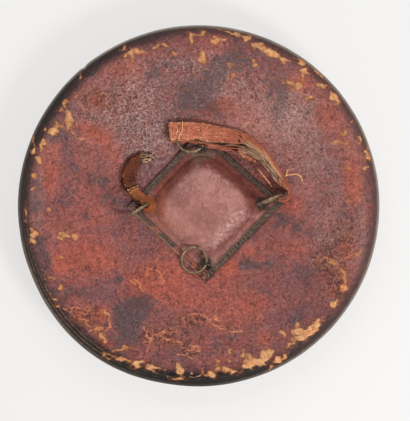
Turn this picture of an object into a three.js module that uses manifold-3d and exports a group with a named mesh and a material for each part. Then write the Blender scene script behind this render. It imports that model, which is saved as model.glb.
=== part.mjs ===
import * as THREE from "three";
import { mergeVertices } from "three/addons/utils/BufferGeometryUtils.js";
import Module from "manifold-3d";

// A round hide shield lying on its front, with the grip side up. Millimetres, +Z up.
// X = Y = 0 is the axis of the dish, and Z = 0 is the ground under the four bosses it lies on.
// Seen from above, +Y is the top of the shield and +X its right side.

// Shield body: one moulded hide dish whose rim rolls outward and down past a crest
const shieldDiameter = 460;
const hideThickness = 5;
const dishRadius = 400;
const crestRadius = 16;
const rimRoll = 75;
const groundClearance = 5;
const rimWaveHeight = 2;
const rimWaveTurn = 35;
const flareReach = 2.5;
const flareTurn = 232;
const flareHalfWidth = 36;

// Gap between pieces that touch
const seatGap = 0.4;

// Knuckle pad: a stuffed pillow on a flat flange, set as a diamond a little off the shield's axis
const padMiddle = new THREE.Vector2(6.3, 1.1);
const flangeThickness = 1.2;
const pillowHeight = 17;
const pillowShare = 0.76;
// Exponents of the pillow: how square its outline is, how flat its crown, how steep its fall
const pillowSquareness = 3.2;
const pillowCrown = 2.5;
const pillowFall = 0.6;
const cornerReach = { right: 103.9, top: 97.5, left: 99.3, bottom: 99.5 };
const cornerTurn = { right: 1.5, top: 92.5, left: 181.4, bottom: 272.2 };

// Edging strips sewn on the flange
const stripWidth = 7.8;
const stripThickness = 2;
const stripMitreGap = 0.5;

// Ring eyes: a wire loop on a shank that goes through flange and hide into a boss. An eye stands
// inside its pad corner, where its washer clears both strips by eyeSpare.
const eyeSpare = { right: 4.3, top: 0.6, left: 0.5, bottom: 1.2 };
const eyeStandoff = 2;
const eyeLoopRadius = 5.5;
const eyeWireDiameter = 3;
const shankDiameter = 4;
const shankRoom = 0.4;
const shankDepthInBoss = 5;

// Lobed washers under the eyes
const washerDiameter = 14.5;
const washerLobes = 6;
const washerLobeDepth = 1.5;
const washerThickness = 1.4;
const washerHoleDiameter = 6;

// Wire rings in the eyes: heading in plan, rise above level, and roll from flat to upright
const ringWireDiameter = 3.2;
const ringDiameter = { right: 36, top: 40, left: 40, bottom: 36 };
const ringHeading = { right: 28, top: 138, left: 211, bottom: 163 };
const ringRise = { right: 50, top: 2, left: 52, bottom: -9 };
const ringRoll = { right: 84, top: 0, left: 90, bottom: 0 };
const ringRoom = 0.4;
// A ring that is rolled less than this lies flat; one that stands hangs a little inside its eye
const flatRollLimit = 45;
const standingDrop = 0.5;

// Bosses on the front, low and plain, each with a small flat tip
const bossDiameter = 48;
const bossTipDiameter = 12;
const bossEdgeShare = 0.86;

// Grip strap: a cover over layers, folded at the top ring and looped round the right one
const gripWidth = 22.5;
const gripLayers = 4;
const gripOuterStep = 1.2;
// Stub: what is left of the second strap, a two-layer band hooked round the left ring
const stubLayers = 2;
const stubOuterStep = 1;

const degrees = THREE.MathUtils.degToRad;
const rimRadius = shieldDiameter / 2;
const middleHeight = groundClearance + hideThickness;
const dishCentreHeight = middleHeight + dishRadius;
const rollAngle = degrees(rimRoll);
// The bend's middle line ends half a hide inside the rim's outermost point
const bendCentreRadius =
  rimRadius - hideThickness / 2 - (crestRadius - hideThickness / 2) * Math.sin(rollAngle);
const dishEdgeRadius = bendCentreRadius / (1 + crestRadius / dishRadius);
const dishEdgeSlope = Math.asin(dishEdgeRadius / dishRadius);
const sides = ["right", "top", "left", "bottom"];

// Height that the warped rim adds: nothing in the middle, most at the rim, twice up and twice down
function rimWave(x, y) {
  const share = Math.hypot(x, y) / rimRadius;
  return rimWaveHeight * share ** 4 * Math.cos(2 * (Math.atan2(y, x) - degrees(rimWaveTurn)));
}

// The sphere of the given radius about the dish's centre, as a height over the ground
function sphereHeight(radius, x, y) {
  return dishCentreHeight - Math.sqrt(radius ** 2 - x ** 2 - y ** 2) + rimWave(x, y);
}

const innerHeight = (x, y) => sphereHeight(dishRadius, x, y);
const frontHeight = (x, y) => sphereHeight(dishRadius + hideThickness, x, y);

// Opens the rolled edge a little over one stretch of the rim
function flared(x, y, z) {
  const r = Math.hypot(x, y);
  if (r < 1e-6) return new THREE.Vector3(x, y, z);
  const away = Math.atan2(y, x) - degrees(flareTurn);
  const turn = Math.abs(Math.atan2(Math.sin(away), Math.cos(away))) / degrees(flareHalfWidth);
  const window = turn < 1 ? 0.5 + 0.5 * Math.cos(Math.PI * turn) : 0;
  const past = THREE.MathUtils.smoothstep(r, bendCentreRadius, rimRadius);
  const reach = flareReach * window * past;
  return new THREE.Vector3(x * (1 + reach / r), y * (1 + reach / r), z + reach + rimWave(x, y));
}

// Moves every corner of a geometry to where place puts it
function reshaped(geometry, place) {
  const corners = geometry.attributes.position;
  for (let i = 0; i < corners.count; i++) {
    const moved = place(corners.getX(i), corners.getY(i), corners.getZ(i));
    corners.setXYZ(i, moved.x, moved.y, moved.z);
  }
  geometry.computeVertexNormals();
  return geometry;
}

const wasm = await Module();
wasm.setup();
// Corners closer than this are one corner
const weldDistance = 1e-3;

// A closed three.js geometry as a solid that can be joined and cut
function solidOf(geometry) {
  const bare = geometry.clone();
  bare.deleteAttribute("normal");
  bare.deleteAttribute("uv");
  const merged = mergeVertices(bare, weldDistance);
  return new wasm.Manifold(
    new wasm.Mesh({
      numProp: 3,
      vertProperties: new Float32Array(merged.attributes.position.array),
      triVerts: new Uint32Array(merged.index.array),
    }),
  );
}

function geometryOf(solid) {
  const mesh = solid.getMesh();
  const geometry = new THREE.BufferGeometry();
  geometry.setAttribute("position", new THREE.BufferAttribute(new Float32Array(mesh.vertProperties), 3));
  geometry.setIndex([...mesh.triVerts]);
  geometry.computeVertexNormals();
  return geometry;
}

function cut(geometry, tools) {
  return geometryOf(tools.reduce((left, tool) => left.subtract(solidOf(tool)), solidOf(geometry)));
}

// A closed body from outlines of equal count, each given as points that run counter-clockwise
// when seen from the last outline. flat holds the first and last outline in their own planes.
function skinned(outlines, flatStart, flatEnd) {
  const count = outlines[0].length;
  const positions = outlines.flat().flatMap((p) => [p.x, p.y, p.z]);
  const index = [];
  for (let i = 0; i + 1 < outlines.length; i++) {
    for (let j = 0; j < count; j++) {
      const a = i * count + j;
      const b = i * count + ((j + 1) % count);
      index.push(a, b, b + count, a, b + count, a + count);
    }
  }
  const last = (outlines.length - 1) * count;
  for (const [a, b, c] of THREE.ShapeUtils.triangulateShape(flatStart, [])) index.push(c, b, a);
  for (const [a, b, c] of THREE.ShapeUtils.triangulateShape(flatEnd, [])) {
    index.push(last + a, last + b, last + c);
  }
  const geometry = new THREE.BufferGeometry();
  geometry.setAttribute("position", new THREE.Float32BufferAttribute(positions, 3));
  geometry.setIndex(index);
  geometry.computeVertexNormals();
  return geometry;
}

// The dish's profile from its middle over the crest, round the edge and back under the front
const dishSpans = 10;
const crestSpans = 7;
const edgeSpans = 3;
const underCrestSpans = 4;
const frontSpans = 5;
const bodySegments = 48;

function bodyGeometry() {
  const profile = [];
  const arc = (centreR, centreZ, radius, from, to, spans, first) => {
    for (let i = first; i <= spans; i++) {
      const angle = from + ((to - from) * i) / spans;
      profile.push(new THREE.Vector2(centreR + radius * Math.sin(angle), centreZ + radius * Math.cos(angle)));
    }
  };
  const bendCentreHeight = dishCentreHeight - (dishRadius + crestRadius) * Math.cos(dishEdgeSlope);
  const edgeMiddle = crestRadius - hideThickness / 2;
  const edgeR = bendCentreRadius + edgeMiddle * Math.sin(rollAngle);
  const edgeZ = bendCentreHeight + edgeMiddle * Math.cos(rollAngle);
  const under = crestRadius - hideThickness;
  arc(0, dishCentreHeight, dishRadius, Math.PI, Math.PI - dishEdgeSlope, dishSpans, 0);
  arc(bendCentreRadius, bendCentreHeight, crestRadius, -dishEdgeSlope, rollAngle, crestSpans, 1);
  arc(edgeR, edgeZ, hideThickness / 2, rollAngle, rollAngle + Math.PI, edgeSpans, 1);
  arc(bendCentreRadius, bendCentreHeight, under, rollAngle, -dishEdgeSlope, underCrestSpans, 1);
  arc(0, dishCentreHeight, dishRadius + hideThickness, Math.PI - dishEdgeSlope, Math.PI, frontSpans, 1);
  profile[0].x = 0;
  profile[profile.length - 1].x = 0;
  const lathe = new THREE.LatheGeometry(profile.reverse(), bodySegments);
  lathe.rotateX(Math.PI / 2);
  return reshaped(lathe, flared);
}

// A point at the given reach from the pad's middle
function fromPad(side, reach) {
  const turn = degrees(cornerTurn[side]);
  return new THREE.Vector2(Math.cos(turn), Math.sin(turn)).multiplyScalar(reach).add(padMiddle);
}

const padCorners = sides.map((side) => fromPad(side, cornerReach[side]));

// How far a point lies inside the pad's side that runs from corner i to the next
function insetOf(i, x, y) {
  const from = padCorners[i];
  const along = padCorners[(i + 1) % 4].clone().sub(from).normalize();
  return along.x * (y - from.y) - along.y * (x - from.x);
}

// The corner where two sides meet once each has moved inward by inset
function insetCorner(i, inset) {
  const before = padCorners[(i + 3) % 4];
  const here = padCorners[i];
  const after = padCorners[(i + 1) % 4];
  const inA = here.clone().sub(before).normalize();
  const inB = after.clone().sub(here).normalize();
  const sine = inA.x * inB.y - inA.y * inB.x;
  return here.clone().addScaledVector(inA, -inset / sine).addScaledVector(inB, inset / sine);
}

// The pillow's height over its flange: a crown that falls steeply at a rounded-square outline
function pillowRise(x, y) {
  const across = (insetOf(0, x, y) - insetOf(2, x, y)) / (insetOf(0, x, y) + insetOf(2, x, y));
  const along = (insetOf(1, x, y) - insetOf(3, x, y)) / (insetOf(1, x, y) + insetOf(3, x, y));
  const power = pillowSquareness;
  const out = (Math.abs(across) ** power + Math.abs(along) ** power) ** (1 / power) / pillowShare;
  return out < 1 ? pillowHeight * (1 - out ** pillowCrown) ** pillowFall : 0;
}

const flangeTop = (x, y) => innerHeight(x, y) + seatGap + flangeThickness;

// The pad's grid lines, from its middle line out to one side: close where the pillow falls
const pillowLines = [0, 0.24, 0.47, 0.71, 0.87, 1].map((line) => line * pillowShare);
const padLines = [...pillowLines.slice(1).map((line) => -line).reverse(), ...pillowLines];
const padShares = [-1, ...padLines, 1].map((line) => (line + 1) / 2);
const padSpans = padShares.length - 1;

function padGeometry() {
  const rows = padShares.length;
  const positions = [];
  for (const top of [false, true]) {
    for (const i of padShares) {
      for (const j of padShares) {
        const low = padCorners[0].clone().lerp(padCorners[1], i);
        const high = padCorners[3].clone().lerp(padCorners[2], i);
        const p = low.lerp(high, j);
        const height = top ? flangeTop(p.x, p.y) + pillowRise(p.x, p.y) : innerHeight(p.x, p.y) + seatGap;
        positions.push(p.x, p.y, height);
      }
    }
  }
  const index = [];
  const layer = rows * rows;
  for (let i = 0; i < padSpans; i++) {
    for (let j = 0; j < padSpans; j++) {
      const a = i * rows + j;
      const [b, c, d] = [a + rows, a + rows + 1, a + 1];
      index.push(a, c, b, a, d, c);
      index.push(a + layer, b + layer, c + layer, a + layer, c + layer, d + layer);
    }
  }
  const wall = (a, b) => index.push(a, b, b + layer, a, b + layer, a + layer);
  for (let i = 0; i < padSpans; i++) {
    wall(i * rows, (i + 1) * rows);
    wall((i + 1) * rows + padSpans, i * rows + padSpans);
    wall(i + 1, i);
    wall(padSpans * rows + i, padSpans * rows + i + 1);
  }
  const geometry = new THREE.BufferGeometry();
  geometry.setAttribute("position", new THREE.Float32BufferAttribute(positions, 3));
  geometry.setIndex(index);
  geometry.computeVertexNormals();
  return geometry;
}

// A strip along the pad's side i, mitred at both corners and rounded over its width
const stripSpans = 10;
const stripShape = [
  [0, 0],
  [1, 0],
  [1, 0.55],
  [0.75, 0.95],
  [0.25, 0.95],
  [0, 0.55],
];

function stripGeometry(i) {
  const next = (i + 1) % 4;
  const along = padCorners[next].clone().sub(padCorners[i]).normalize();
  const outlines = [];
  for (let k = 0; k <= stripSpans; k++) {
    outlines.push(
      stripShape.map(([across, up]) => {
        const from = insetCorner(i, stripWidth * across).addScaledVector(along, stripMitreGap / 2);
        const to = insetCorner(next, stripWidth * across).addScaledVector(along, -stripMitreGap / 2);
        const p = from.lerp(to, k / stripSpans);
        return new THREE.Vector3(p.x, p.y, flangeTop(p.x, p.y) + seatGap + stripThickness * up);
      }),
    );
  }
  const flat = stripShape.map(([across, up]) => new THREE.Vector2(across, up));
  return skinned(outlines, flat, flat);
}

// The middle of an eye's hole, over the washer that the loop stands on
function eyePlace(side) {
  const fromSides = stripWidth + washerDiameter / 2 + seatGap + eyeSpare[side];
  const p = fromPad(side, cornerReach[side] - Math.SQRT2 * fromSides);
  const washerTop = flangeTop(p.x, p.y) + seatGap + washerThickness;
  return new THREE.Vector3(p.x, p.y, washerTop + eyeStandoff + eyeWireDiameter / 2 + eyeLoopRadius);
}

// How deep a shank goes into its boss, as a height over the ground
function shankEnd(side) {
  const eye = eyePlace(side);
  return frontHeight(eye.x, eye.y) - shankDepthInBoss;
}

const liesFlat = (side) => ringRoll[side] < flatRollLimit;

// A wire loop with its hole level, on a shank down to the boss; grown by room it is a cutting tool
const eyeSegments = 14;
const eyeWireSides = 6;
const shankSides = 8;

function eyeGeometry(side, room) {
  const eye = eyePlace(side);
  const wireRadius = eyeWireDiameter / 2 + room;
  const loop = new THREE.TorusGeometry(eyeLoopRadius, wireRadius, eyeWireSides, eyeSegments);
  loop.rotateX(Math.PI / 2);
  // A flat ring threads the hole crosswise to its own heading, an upright one along it
  loop.rotateZ(degrees(ringHeading[side] + (liesFlat(side) ? 0 : 90)));
  const top = eye.z - eyeLoopRadius;
  const length = top - shankEnd(side) + room;
  const shankRadius = shankDiameter / 2 + room;
  const shank = new THREE.CylinderGeometry(shankRadius, shankRadius, length, shankSides);
  shank.rotateX(Math.PI / 2);
  shank.translate(0, 0, -eyeLoopRadius - length / 2);
  return geometryOf(solidOf(loop).add(solidOf(shank)));
}

// The room that an eye takes in what it goes through, where the eye is
function eyeRoom(side) {
  const eye = eyePlace(side);
  return eyeGeometry(side, shankRoom).translate(eye.x, eye.y, eye.z);
}

function shankHole(side) {
  const eye = eyePlace(side);
  const radius = shankDiameter / 2 + shankRoom;
  const low = shankEnd(side) - shankRoom;
  const hole = new THREE.CylinderGeometry(radius, radius, eye.z - low, shankSides);
  hole.rotateX(Math.PI / 2);
  return hole.translate(eye.x, eye.y, (eye.z + low) / 2);
}

const pointsPerLobe = 4;
const washerHoleSegments = 6;

function washerGeometry() {
  const points = [];
  const steps = washerLobes * pointsPerLobe;
  for (let i = 0; i < steps; i++) {
    const turn = (i / steps) * 2 * Math.PI;
    const radius = washerDiameter / 2 - washerLobeDepth * (0.5 - 0.5 * Math.cos(washerLobes * turn));
    points.push(new THREE.Vector2(radius * Math.cos(turn), radius * Math.sin(turn)));
  }
  const shape = new THREE.Shape(points);
  const hole = new THREE.Path();
  hole.absarc(0, 0, washerHoleDiameter / 2, 0, 2 * Math.PI, true);
  shape.holes.push(hole);
  return new THREE.ExtrudeGeometry(shape, {
    depth: washerThickness,
    bevelEnabled: false,
    curveSegments: washerHoleSegments,
  });
}

// The direction straight out of the hide's inner face, from its slopes over a short step
const slopeStep = 0.1;

function innerNormal(x, y) {
  const step = slopeStep;
  const slopeX = (innerHeight(x + step, y) - innerHeight(x - step, y)) / (2 * step);
  const slopeY = (innerHeight(x, y + step) - innerHeight(x, y - step)) / (2 * step);
  return new THREE.Vector3(-slopeX, -slopeY, 1).normalize();
}

const ringRadius = (side) => (ringDiameter[side] - ringWireDiameter) / 2;

// Where a ring is: its centre and the three directions of its own frame
function ringFrame(side) {
  const heading = degrees(ringHeading[side]);
  const rise = degrees(ringRise[side]);
  const roll = degrees(ringRoll[side]);
  const level = new THREE.Vector3(Math.cos(heading), Math.sin(heading), 0);
  const up = new THREE.Vector3(0, 0, 1);
  const out = level.clone().multiplyScalar(Math.cos(rise)).addScaledVector(up, Math.sin(rise));
  const crosswise = up.clone().cross(level);
  const overhead = out.clone().cross(crosswise);
  const along = crosswise.multiplyScalar(Math.cos(roll)).addScaledVector(overhead, Math.sin(roll));
  // The wire lies in the bottom of its eye's hole, or hangs in its middle where the ring stands
  const flat = liesFlat(side);
  const slack = eyeLoopRadius - (eyeWireDiameter + ringWireDiameter) / 2 - ringRoom;
  const centre = eyePlace(side).addScaledVector(out, ringRadius(side) - (flat ? 0 : standingDrop));
  if (flat) centre.z -= slack;
  return { centre, out, along, normal: out.clone().cross(along) };
}

function ringMatrix(side) {
  const { centre, out, along, normal } = ringFrame(side);
  return new THREE.Matrix4().makeBasis(out, along, normal).setPosition(centre);
}

const ringWireSides = 6;
const ringSegments = 28;

const ringGeometry = (side, room) =>
  new THREE.TorusGeometry(ringRadius(side), ringWireDiameter / 2 + room, ringWireSides, ringSegments);

// A low dome whose seat follows the front of the hide and whose flat tip touches the ground
const bossSegments = 15;
const bossProfile = [0, 0.4, 0.75, 1];

function bossGeometry(side) {
  const { x, y } = eyePlace(side);
  const tip = bossTipDiameter / 2;
  const edge = bossDiameter / 2;
  const profile = [new THREE.Vector2(0, 0)];
  for (const share of bossProfile) {
    profile.push(new THREE.Vector2(tip + (edge - tip) * share, bossEdgeShare * share ** 2));
  }
  for (const share of [1, 0.5]) profile.push(new THREE.Vector2(edge * share, 1));
  profile.push(new THREE.Vector2(0, 1));
  const dome = new THREE.LatheGeometry(profile, bossSegments);
  dome.rotateX(Math.PI / 2);
  return reshaped(dome, (px, py, share) => {
    const seat = frontHeight(x + px, y + py) - seatGap;
    return new THREE.Vector3(x + px, y + py, share * seat);
  });
}

// A band carried along a path. Each station holds a place beside its ring, a lift over the hide,
// a tilt that leans the band's face to the left of its run, and the band's own sizes there.
const bandStepsPerStation = 3;

function bandGeometry(ring, stations, layers, outerStep) {
  const centres = stations.map((s) => {
    const anchor = ringFrame(s.ring ?? ring).centre;
    const x = anchor.x + s.x;
    const y = anchor.y + s.y;
    return new THREE.Vector3(x, y, innerHeight(x, y) + s.lift);
  });
  const curve = new THREE.CatmullRomCurve3(centres, false, "centripetal");
  const steps = (stations.length - 1) * bandStepsPerStation;
  const between = (key, u) => {
    const at = Math.min(u * (stations.length - 1), stations.length - 1 - 1e-9);
    const i = Math.floor(at);
    return THREE.MathUtils.lerp(stations[i][key], stations[i + 1][key], at - i);
  };
  const flats = [];
  const outlines = [];
  for (let k = 0; k <= steps; k++) {
    const u = k / steps;
    const tilt = degrees(between("tilt", u));
    const [width, thick, splay] = ["width", "thick", "splay"].map((key) => between(key, u));
    const flat = layerOutline(width, thick, splay, layers, outerStep);
    const run = curve.getTangent(u);
    const left = new THREE.Vector3(0, 0, 1).cross(run).normalize();
    const up = run.clone().cross(left);
    const face = up.clone().multiplyScalar(Math.cos(tilt)).addScaledVector(left, Math.sin(tilt));
    const across = left.clone().multiplyScalar(Math.cos(tilt)).addScaledVector(up, -Math.sin(tilt));
    const centre = curve.getPoint(u);
    flats.push(flat);
    outlines.push(flat.map((p) => centre.clone().addScaledVector(across, p.x).addScaledVector(face, p.y)));
  }
  return skinned(outlines, flats[0], flats[flats.length - 1]);
}

// A stack of layers in section, its cover's face at height 0; each layer below the cover
// stands out a little further on the inner side
function layerOutline(width, thick, splay, layers, outerStep) {
  const outline = [];
  for (let layer = 0; layer < layers; layer++) {
    const edge = -width / 2 - (splay * layer) / (layers - 1);
    outline.push(new THREE.Vector2(edge, (-thick * layer) / layers));
    outline.push(new THREE.Vector2(edge, (-thick * (layer + 1)) / layers));
  }
  outline.push(new THREE.Vector2(width / 2 - outerStep, -thick));
  outline.push(new THREE.Vector2(width / 2, 0));
  return outline;
}

// The grip strap's run from its fold at the top ring to its loop round the right ring
const gripStations = [
  { ring: "top", x: -28.5, y: 7.5, lift: 11.2, tilt: 0, width: gripWidth - 2, thick: 6, splay: 1 },
  { ring: "top", x: -25, y: 7.8, lift: 12.8, tilt: 0, width: gripWidth, thick: 9, splay: 2 },
  { ring: "top", x: -13.7, y: 8.4, lift: 13.4, tilt: 0, width: gripWidth, thick: 10, splay: 3 },
  { ring: "top", x: 5.7, y: 8.2, lift: 14.4, tilt: 3, width: gripWidth, thick: 10, splay: 4 },
  { ring: "top", x: 27.7, y: 5.4, lift: 15.4, tilt: 15, width: gripWidth, thick: 9.5, splay: 5 },
  { ring: "top", x: 48.4, y: 2.5, lift: 16, tilt: 32, width: gripWidth, thick: 9, splay: 7 },
  { ring: "right", x: -33.3, y: 79.5, lift: 17.4, tilt: 46, width: gripWidth, thick: 9, splay: 9 },
  { ring: "right", x: -18.5, y: 70.4, lift: 18.6, tilt: 57, width: gripWidth, thick: 9, splay: 6 },
  { ring: "right", x: -5.1, y: 59.3, lift: 19.7, tilt: 62, width: gripWidth, thick: 8.5, splay: 2 },
  { ring: "right", x: 3.9, y: 47.1, lift: 20, tilt: 66, width: gripWidth, thick: 8.2, splay: 1 },
  { ring: "right", x: 12, y: 35.5, lift: 18.9, tilt: 68, width: gripWidth, thick: 8, splay: 1 },
  { ring: "right", x: 19.8, y: 23.9, lift: 17.4, tilt: 72, width: gripWidth - 1, thick: 7, splay: 0.5 },
  { ring: "right", x: 26.5, y: 14.9, lift: 16, tilt: 76, width: gripWidth - 2, thick: 3.2, splay: 0.2 },
  { ring: "right", x: 27.9, y: 6.6, lift: 15.5, tilt: 80, width: gripWidth - 3, thick: 3, splay: 0.2 },
  { ring: "right", x: 23.3, y: -0.3, lift: 17.1, tilt: 82, width: gripWidth - 4, thick: 3, splay: 0.2 },
  { ring: "right", x: 16.9, y: -2.4, lift: 19, tilt: 82, width: gripWidth - 5, thick: 3, splay: 0.2 },
  { ring: "right", x: 11.1, y: -1.5, lift: 19.5, tilt: 80, width: gripWidth - 6, thick: 2.6, splay: 0.2 },
];

// The stub's run from its torn end round to the hook over the left ring
const stubStations = [
  { x: 22.4, y: 69.4, lift: 6.5, tilt: 5, width: 5, thick: 3, splay: 0.5 },
  { x: 12.1, y: 68.1, lift: 7, tilt: 8, width: 11, thick: 5, splay: 1 },
  { x: 0.4, y: 64.1, lift: 7.6, tilt: 10, width: 15, thick: 5.5, splay: 1.5 },
  { x: -6.7, y: 55, lift: 8.5, tilt: 12, width: 17, thick: 5.5, splay: 1.5 },
  { x: -9.2, y: 44, lift: 9.6, tilt: 14, width: 17.5, thick: 5.5, splay: 1.5 },
  { x: -6.4, y: 32.2, lift: 13.8, tilt: 15, width: 16, thick: 5.5, splay: 1 },
  { x: 1, y: 21.8, lift: 21.4, tilt: 18, width: 11, thick: 6.5, splay: 0.5 },
  { x: 8.9, y: 17.2, lift: 26.1, tilt: 40, width: 13, thick: 4.5, splay: 0.5 },
  { x: 17.3, y: 14, lift: 28.7, tilt: 58, width: 16, thick: 3.6, splay: 0.3 },
  { x: 23.1, y: 7.6, lift: 29.1, tilt: 64, width: 17, thick: 3.4, splay: 0.3 },
  { x: 18.6, y: 0.5, lift: 27.9, tilt: 66, width: 16, thick: 3.4, splay: 0.3 },
  { x: 10.2, y: -0.8, lift: 25.9, tilt: 66, width: 13, thick: 3, splay: 0.3 },
];

// What a strap leaves free round the rings and eyes that it meets
function ringTunnel(side) {
  return ringGeometry(side, ringRoom).applyMatrix4(ringMatrix(side));
}

function finish(color, roughness, metalness) {
  return new THREE.MeshStandardMaterial({ color, roughness, metalness });
}

const finishes = {
  hide: finish(0x7c3a2c, 0.45, 0),
  pad: finish(0x94584f, 0.5, 0),
  strip: finish(0x57503f, 0.8, 0),
  iron: finish(0x35302a, 0.6, 0.7),
  ring: finish(0x7d7258, 0.45, 0.8),
  strap: finish(0xa65a33, 0.7, 0),
};

const shield = new THREE.Group();

function place(name, geometry, material) {
  const mesh = new THREE.Mesh(geometry, material);
  mesh.name = name;
  shield.add(mesh);
  return mesh;
}

const holes = sides.map(shankHole);
place("shield_body", cut(bodyGeometry(), holes), finishes.hide);
place("knuckle_pad", cut(padGeometry(), holes), finishes.pad);

const stripNames = ["upper_right", "upper_left", "lower_left", "lower_right"];
stripNames.forEach((name, i) => place(`pad_strip_${name}`, stripGeometry(i), finishes.strip));

for (const side of sides) {
  const eye = eyePlace(side);
  place(`ring_eye_${side}`, eyeGeometry(side, 0), finishes.iron).position.copy(eye);
  const washer = place(`eye_washer_${side}`, washerGeometry(), finishes.iron);
  const normal = innerNormal(eye.x, eye.y);
  washer.quaternion.setFromUnitVectors(new THREE.Vector3(0, 0, 1), normal);
  washer.position.set(eye.x, eye.y, flangeTop(eye.x, eye.y)).addScaledVector(normal, seatGap);
  place(`boss_${side}`, cut(bossGeometry(side), [shankHole(side)]), finishes.iron);
  place(`wire_ring_${side}`, ringGeometry(side, 0), finishes.ring).applyMatrix4(ringMatrix(side));
}

const grip = bandGeometry("top", gripStations, gripLayers, gripOuterStep);
place(
  "grip_strap",
  cut(grip, [ringTunnel("top"), eyeRoom("top"), ringTunnel("right")]),
  finishes.strap,
);
const stub = bandGeometry("left", stubStations, stubLayers, stubOuterStep);
place("strap_stub", cut(stub, [ringTunnel("left"), eyeRoom("left")]), finishes.strap);

export default shield;
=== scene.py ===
import bpy
import numpy as np
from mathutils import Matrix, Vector


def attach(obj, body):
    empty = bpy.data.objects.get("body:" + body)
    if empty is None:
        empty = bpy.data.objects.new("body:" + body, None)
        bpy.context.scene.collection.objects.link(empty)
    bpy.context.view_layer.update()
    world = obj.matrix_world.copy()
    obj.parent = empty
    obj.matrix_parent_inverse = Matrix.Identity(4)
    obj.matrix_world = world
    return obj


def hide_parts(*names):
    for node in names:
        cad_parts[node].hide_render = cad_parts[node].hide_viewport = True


# A round hide shield lying on its front, grip side up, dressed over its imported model.
# Lengths are in millimetres until a mesh is made, with X right, Y to the shield's top and Z up.
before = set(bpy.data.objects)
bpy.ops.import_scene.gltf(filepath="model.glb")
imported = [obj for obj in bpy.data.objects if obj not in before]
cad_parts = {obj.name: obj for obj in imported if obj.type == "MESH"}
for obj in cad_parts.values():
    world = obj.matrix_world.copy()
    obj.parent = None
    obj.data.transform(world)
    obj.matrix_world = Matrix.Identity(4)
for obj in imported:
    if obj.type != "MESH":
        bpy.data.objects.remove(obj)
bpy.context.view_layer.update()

METRES = 0.001
SIDES = ("right", "top", "left", "bottom")

# The dish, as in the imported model
RIM_RADIUS = 230.0
HIDE = 5.0
DISH_RADIUS = 400.0
CREST_RADIUS = 16.0
ROLL = np.radians(75)
DISH_CENTRE = 10.0 + DISH_RADIUS
BEND_RADIUS = RIM_RADIUS - HIDE / 2 - (CREST_RADIUS - HIDE / 2) * np.sin(ROLL)
EDGE_SLOPE = np.arcsin(BEND_RADIUS / (DISH_RADIUS + CREST_RADIUS))
WAVE_HEIGHT = 2.0
WAVE_TURN = np.radians(35)
FLARE_REACH = 2.5
FLARE_TURN = np.radians(232)
FLARE_HALF = np.radians(36)
GAP = 0.4

# The pad, its strips and the eyes inside its corners
PAD_MIDDLE = np.array([6.3, 1.1])
CORNER_REACH = np.array([103.9, 97.5, 99.3, 99.5])
CORNER_TURN = np.radians([1.5, 92.5, 181.4, 272.2])
PAD_CORNERS = PAD_MIDDLE + CORNER_REACH[:, None] * np.stack(
    [np.cos(CORNER_TURN), np.sin(CORNER_TURN)], -1
)
FLANGE = 1.2
PILLOW_HEIGHT = 17.0
PILLOW_SHARE = 0.8
STRIP_WIDTH = 7.8
STRIP_THICKNESS = 2.0
EYES = dict(
    right=(82.243, 3.089, 30.972),
    top=(3.037, 75.831, 29.659),
    left=(-70.420, -0.775, 28.655),
    bottom=(9.216, -74.797, 29.551),
)
RING_DIAMETER = dict(right=36, top=40, left=40, bottom=36)
RING_HEADING = dict(right=28, top=138, left=211, bottom=163)
RING_RISE = dict(right=50, top=2, left=52, bottom=-9)
RING_ROLL = dict(right=84, top=0, left=90, bottom=0)
RING_WIRE = 3.2
RING_RUST = 0.3


def tint(red, green, blue):
    """A linear colour from the 0 to 255 values that a screen shows."""
    shown = np.array([red, green, blue]) / 255
    linear = np.where(shown > 0.04045, ((shown + 0.055) / 1.055) ** 2.4, shown / 12.92)
    return (*(float(v) for v in linear), 1.0)


def smooth(value, low, high):
    """0 below low, 1 above high, and 3t^2 - 2t^3 of the share t between them."""
    t = np.clip((value - low) / (high - low), 0, 1)
    return t * t * (3 - 2 * t)


def unit(vectors):
    """Vectors of length one in the same directions."""
    return vectors / np.maximum(np.linalg.norm(vectors, axis=-1, keepdims=True), 1e-9)


def lumps(points, size, seed, waves=14):
    """Smooth random relief of unit spread: a sum of sine waves about size long, each in its own
    random direction with its own random phase."""
    random = np.random.default_rng(seed)
    way = unit(random.normal(size=(waves, points.shape[-1])))
    way *= 2 * np.pi / size * random.uniform(0.6, 1.6, (waves, 1))
    phase = random.uniform(0, 2 * np.pi, waves)
    return np.sin(points @ way.T + phase).sum(-1) * np.sqrt(2 / waves)


def ripple(along, size, seed):
    """Smooth random relief of unit spread over one length."""
    return lumps(np.asarray(along, float)[..., None], size, seed)


def bell(distance, width):
    """1 at no distance, and e to the minus square of the distance over the width further off."""
    return np.exp(-((distance / width) ** 2))


def boxy(wave, power):
    """A sine or cosine swelled towards a square wave: its size to the power, with its own sign."""
    return np.sign(wave) * np.abs(wave) ** power


# Shapes: grids of points turned into closed meshes


def tube_faces(rows, columns, ring=False):
    """Four-sided faces over a grid whose columns close on themselves, and whose rows do so too
    for a ring."""
    i, j = np.meshgrid(np.arange(rows if ring else rows - 1), np.arange(columns), indexing="ij")
    k, l = (i + 1) % rows, (j + 1) % columns
    return np.stack([i * columns + j, i * columns + l, k * columns + l, k * columns + j], -1).reshape(-1, 4)


def facing_out(corners, quads, triangles):
    """The same closed body with its faces turned if the volume that they enclose, a sixth of the
    sum of their corners' triple products, is negative."""
    a, b, c, d = (corners[quads[:, k]] for k in range(4))
    volume = (a * (np.cross(b, c) + np.cross(c, d))).sum()
    a, b, c = (corners[triangles[:, k]] for k in range(3))
    volume += (a * np.cross(b, c)).sum()
    if volume < 0:
        quads, triangles = quads[:, ::-1], triangles[:, ::-1]
    return corners, quads, triangles


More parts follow.
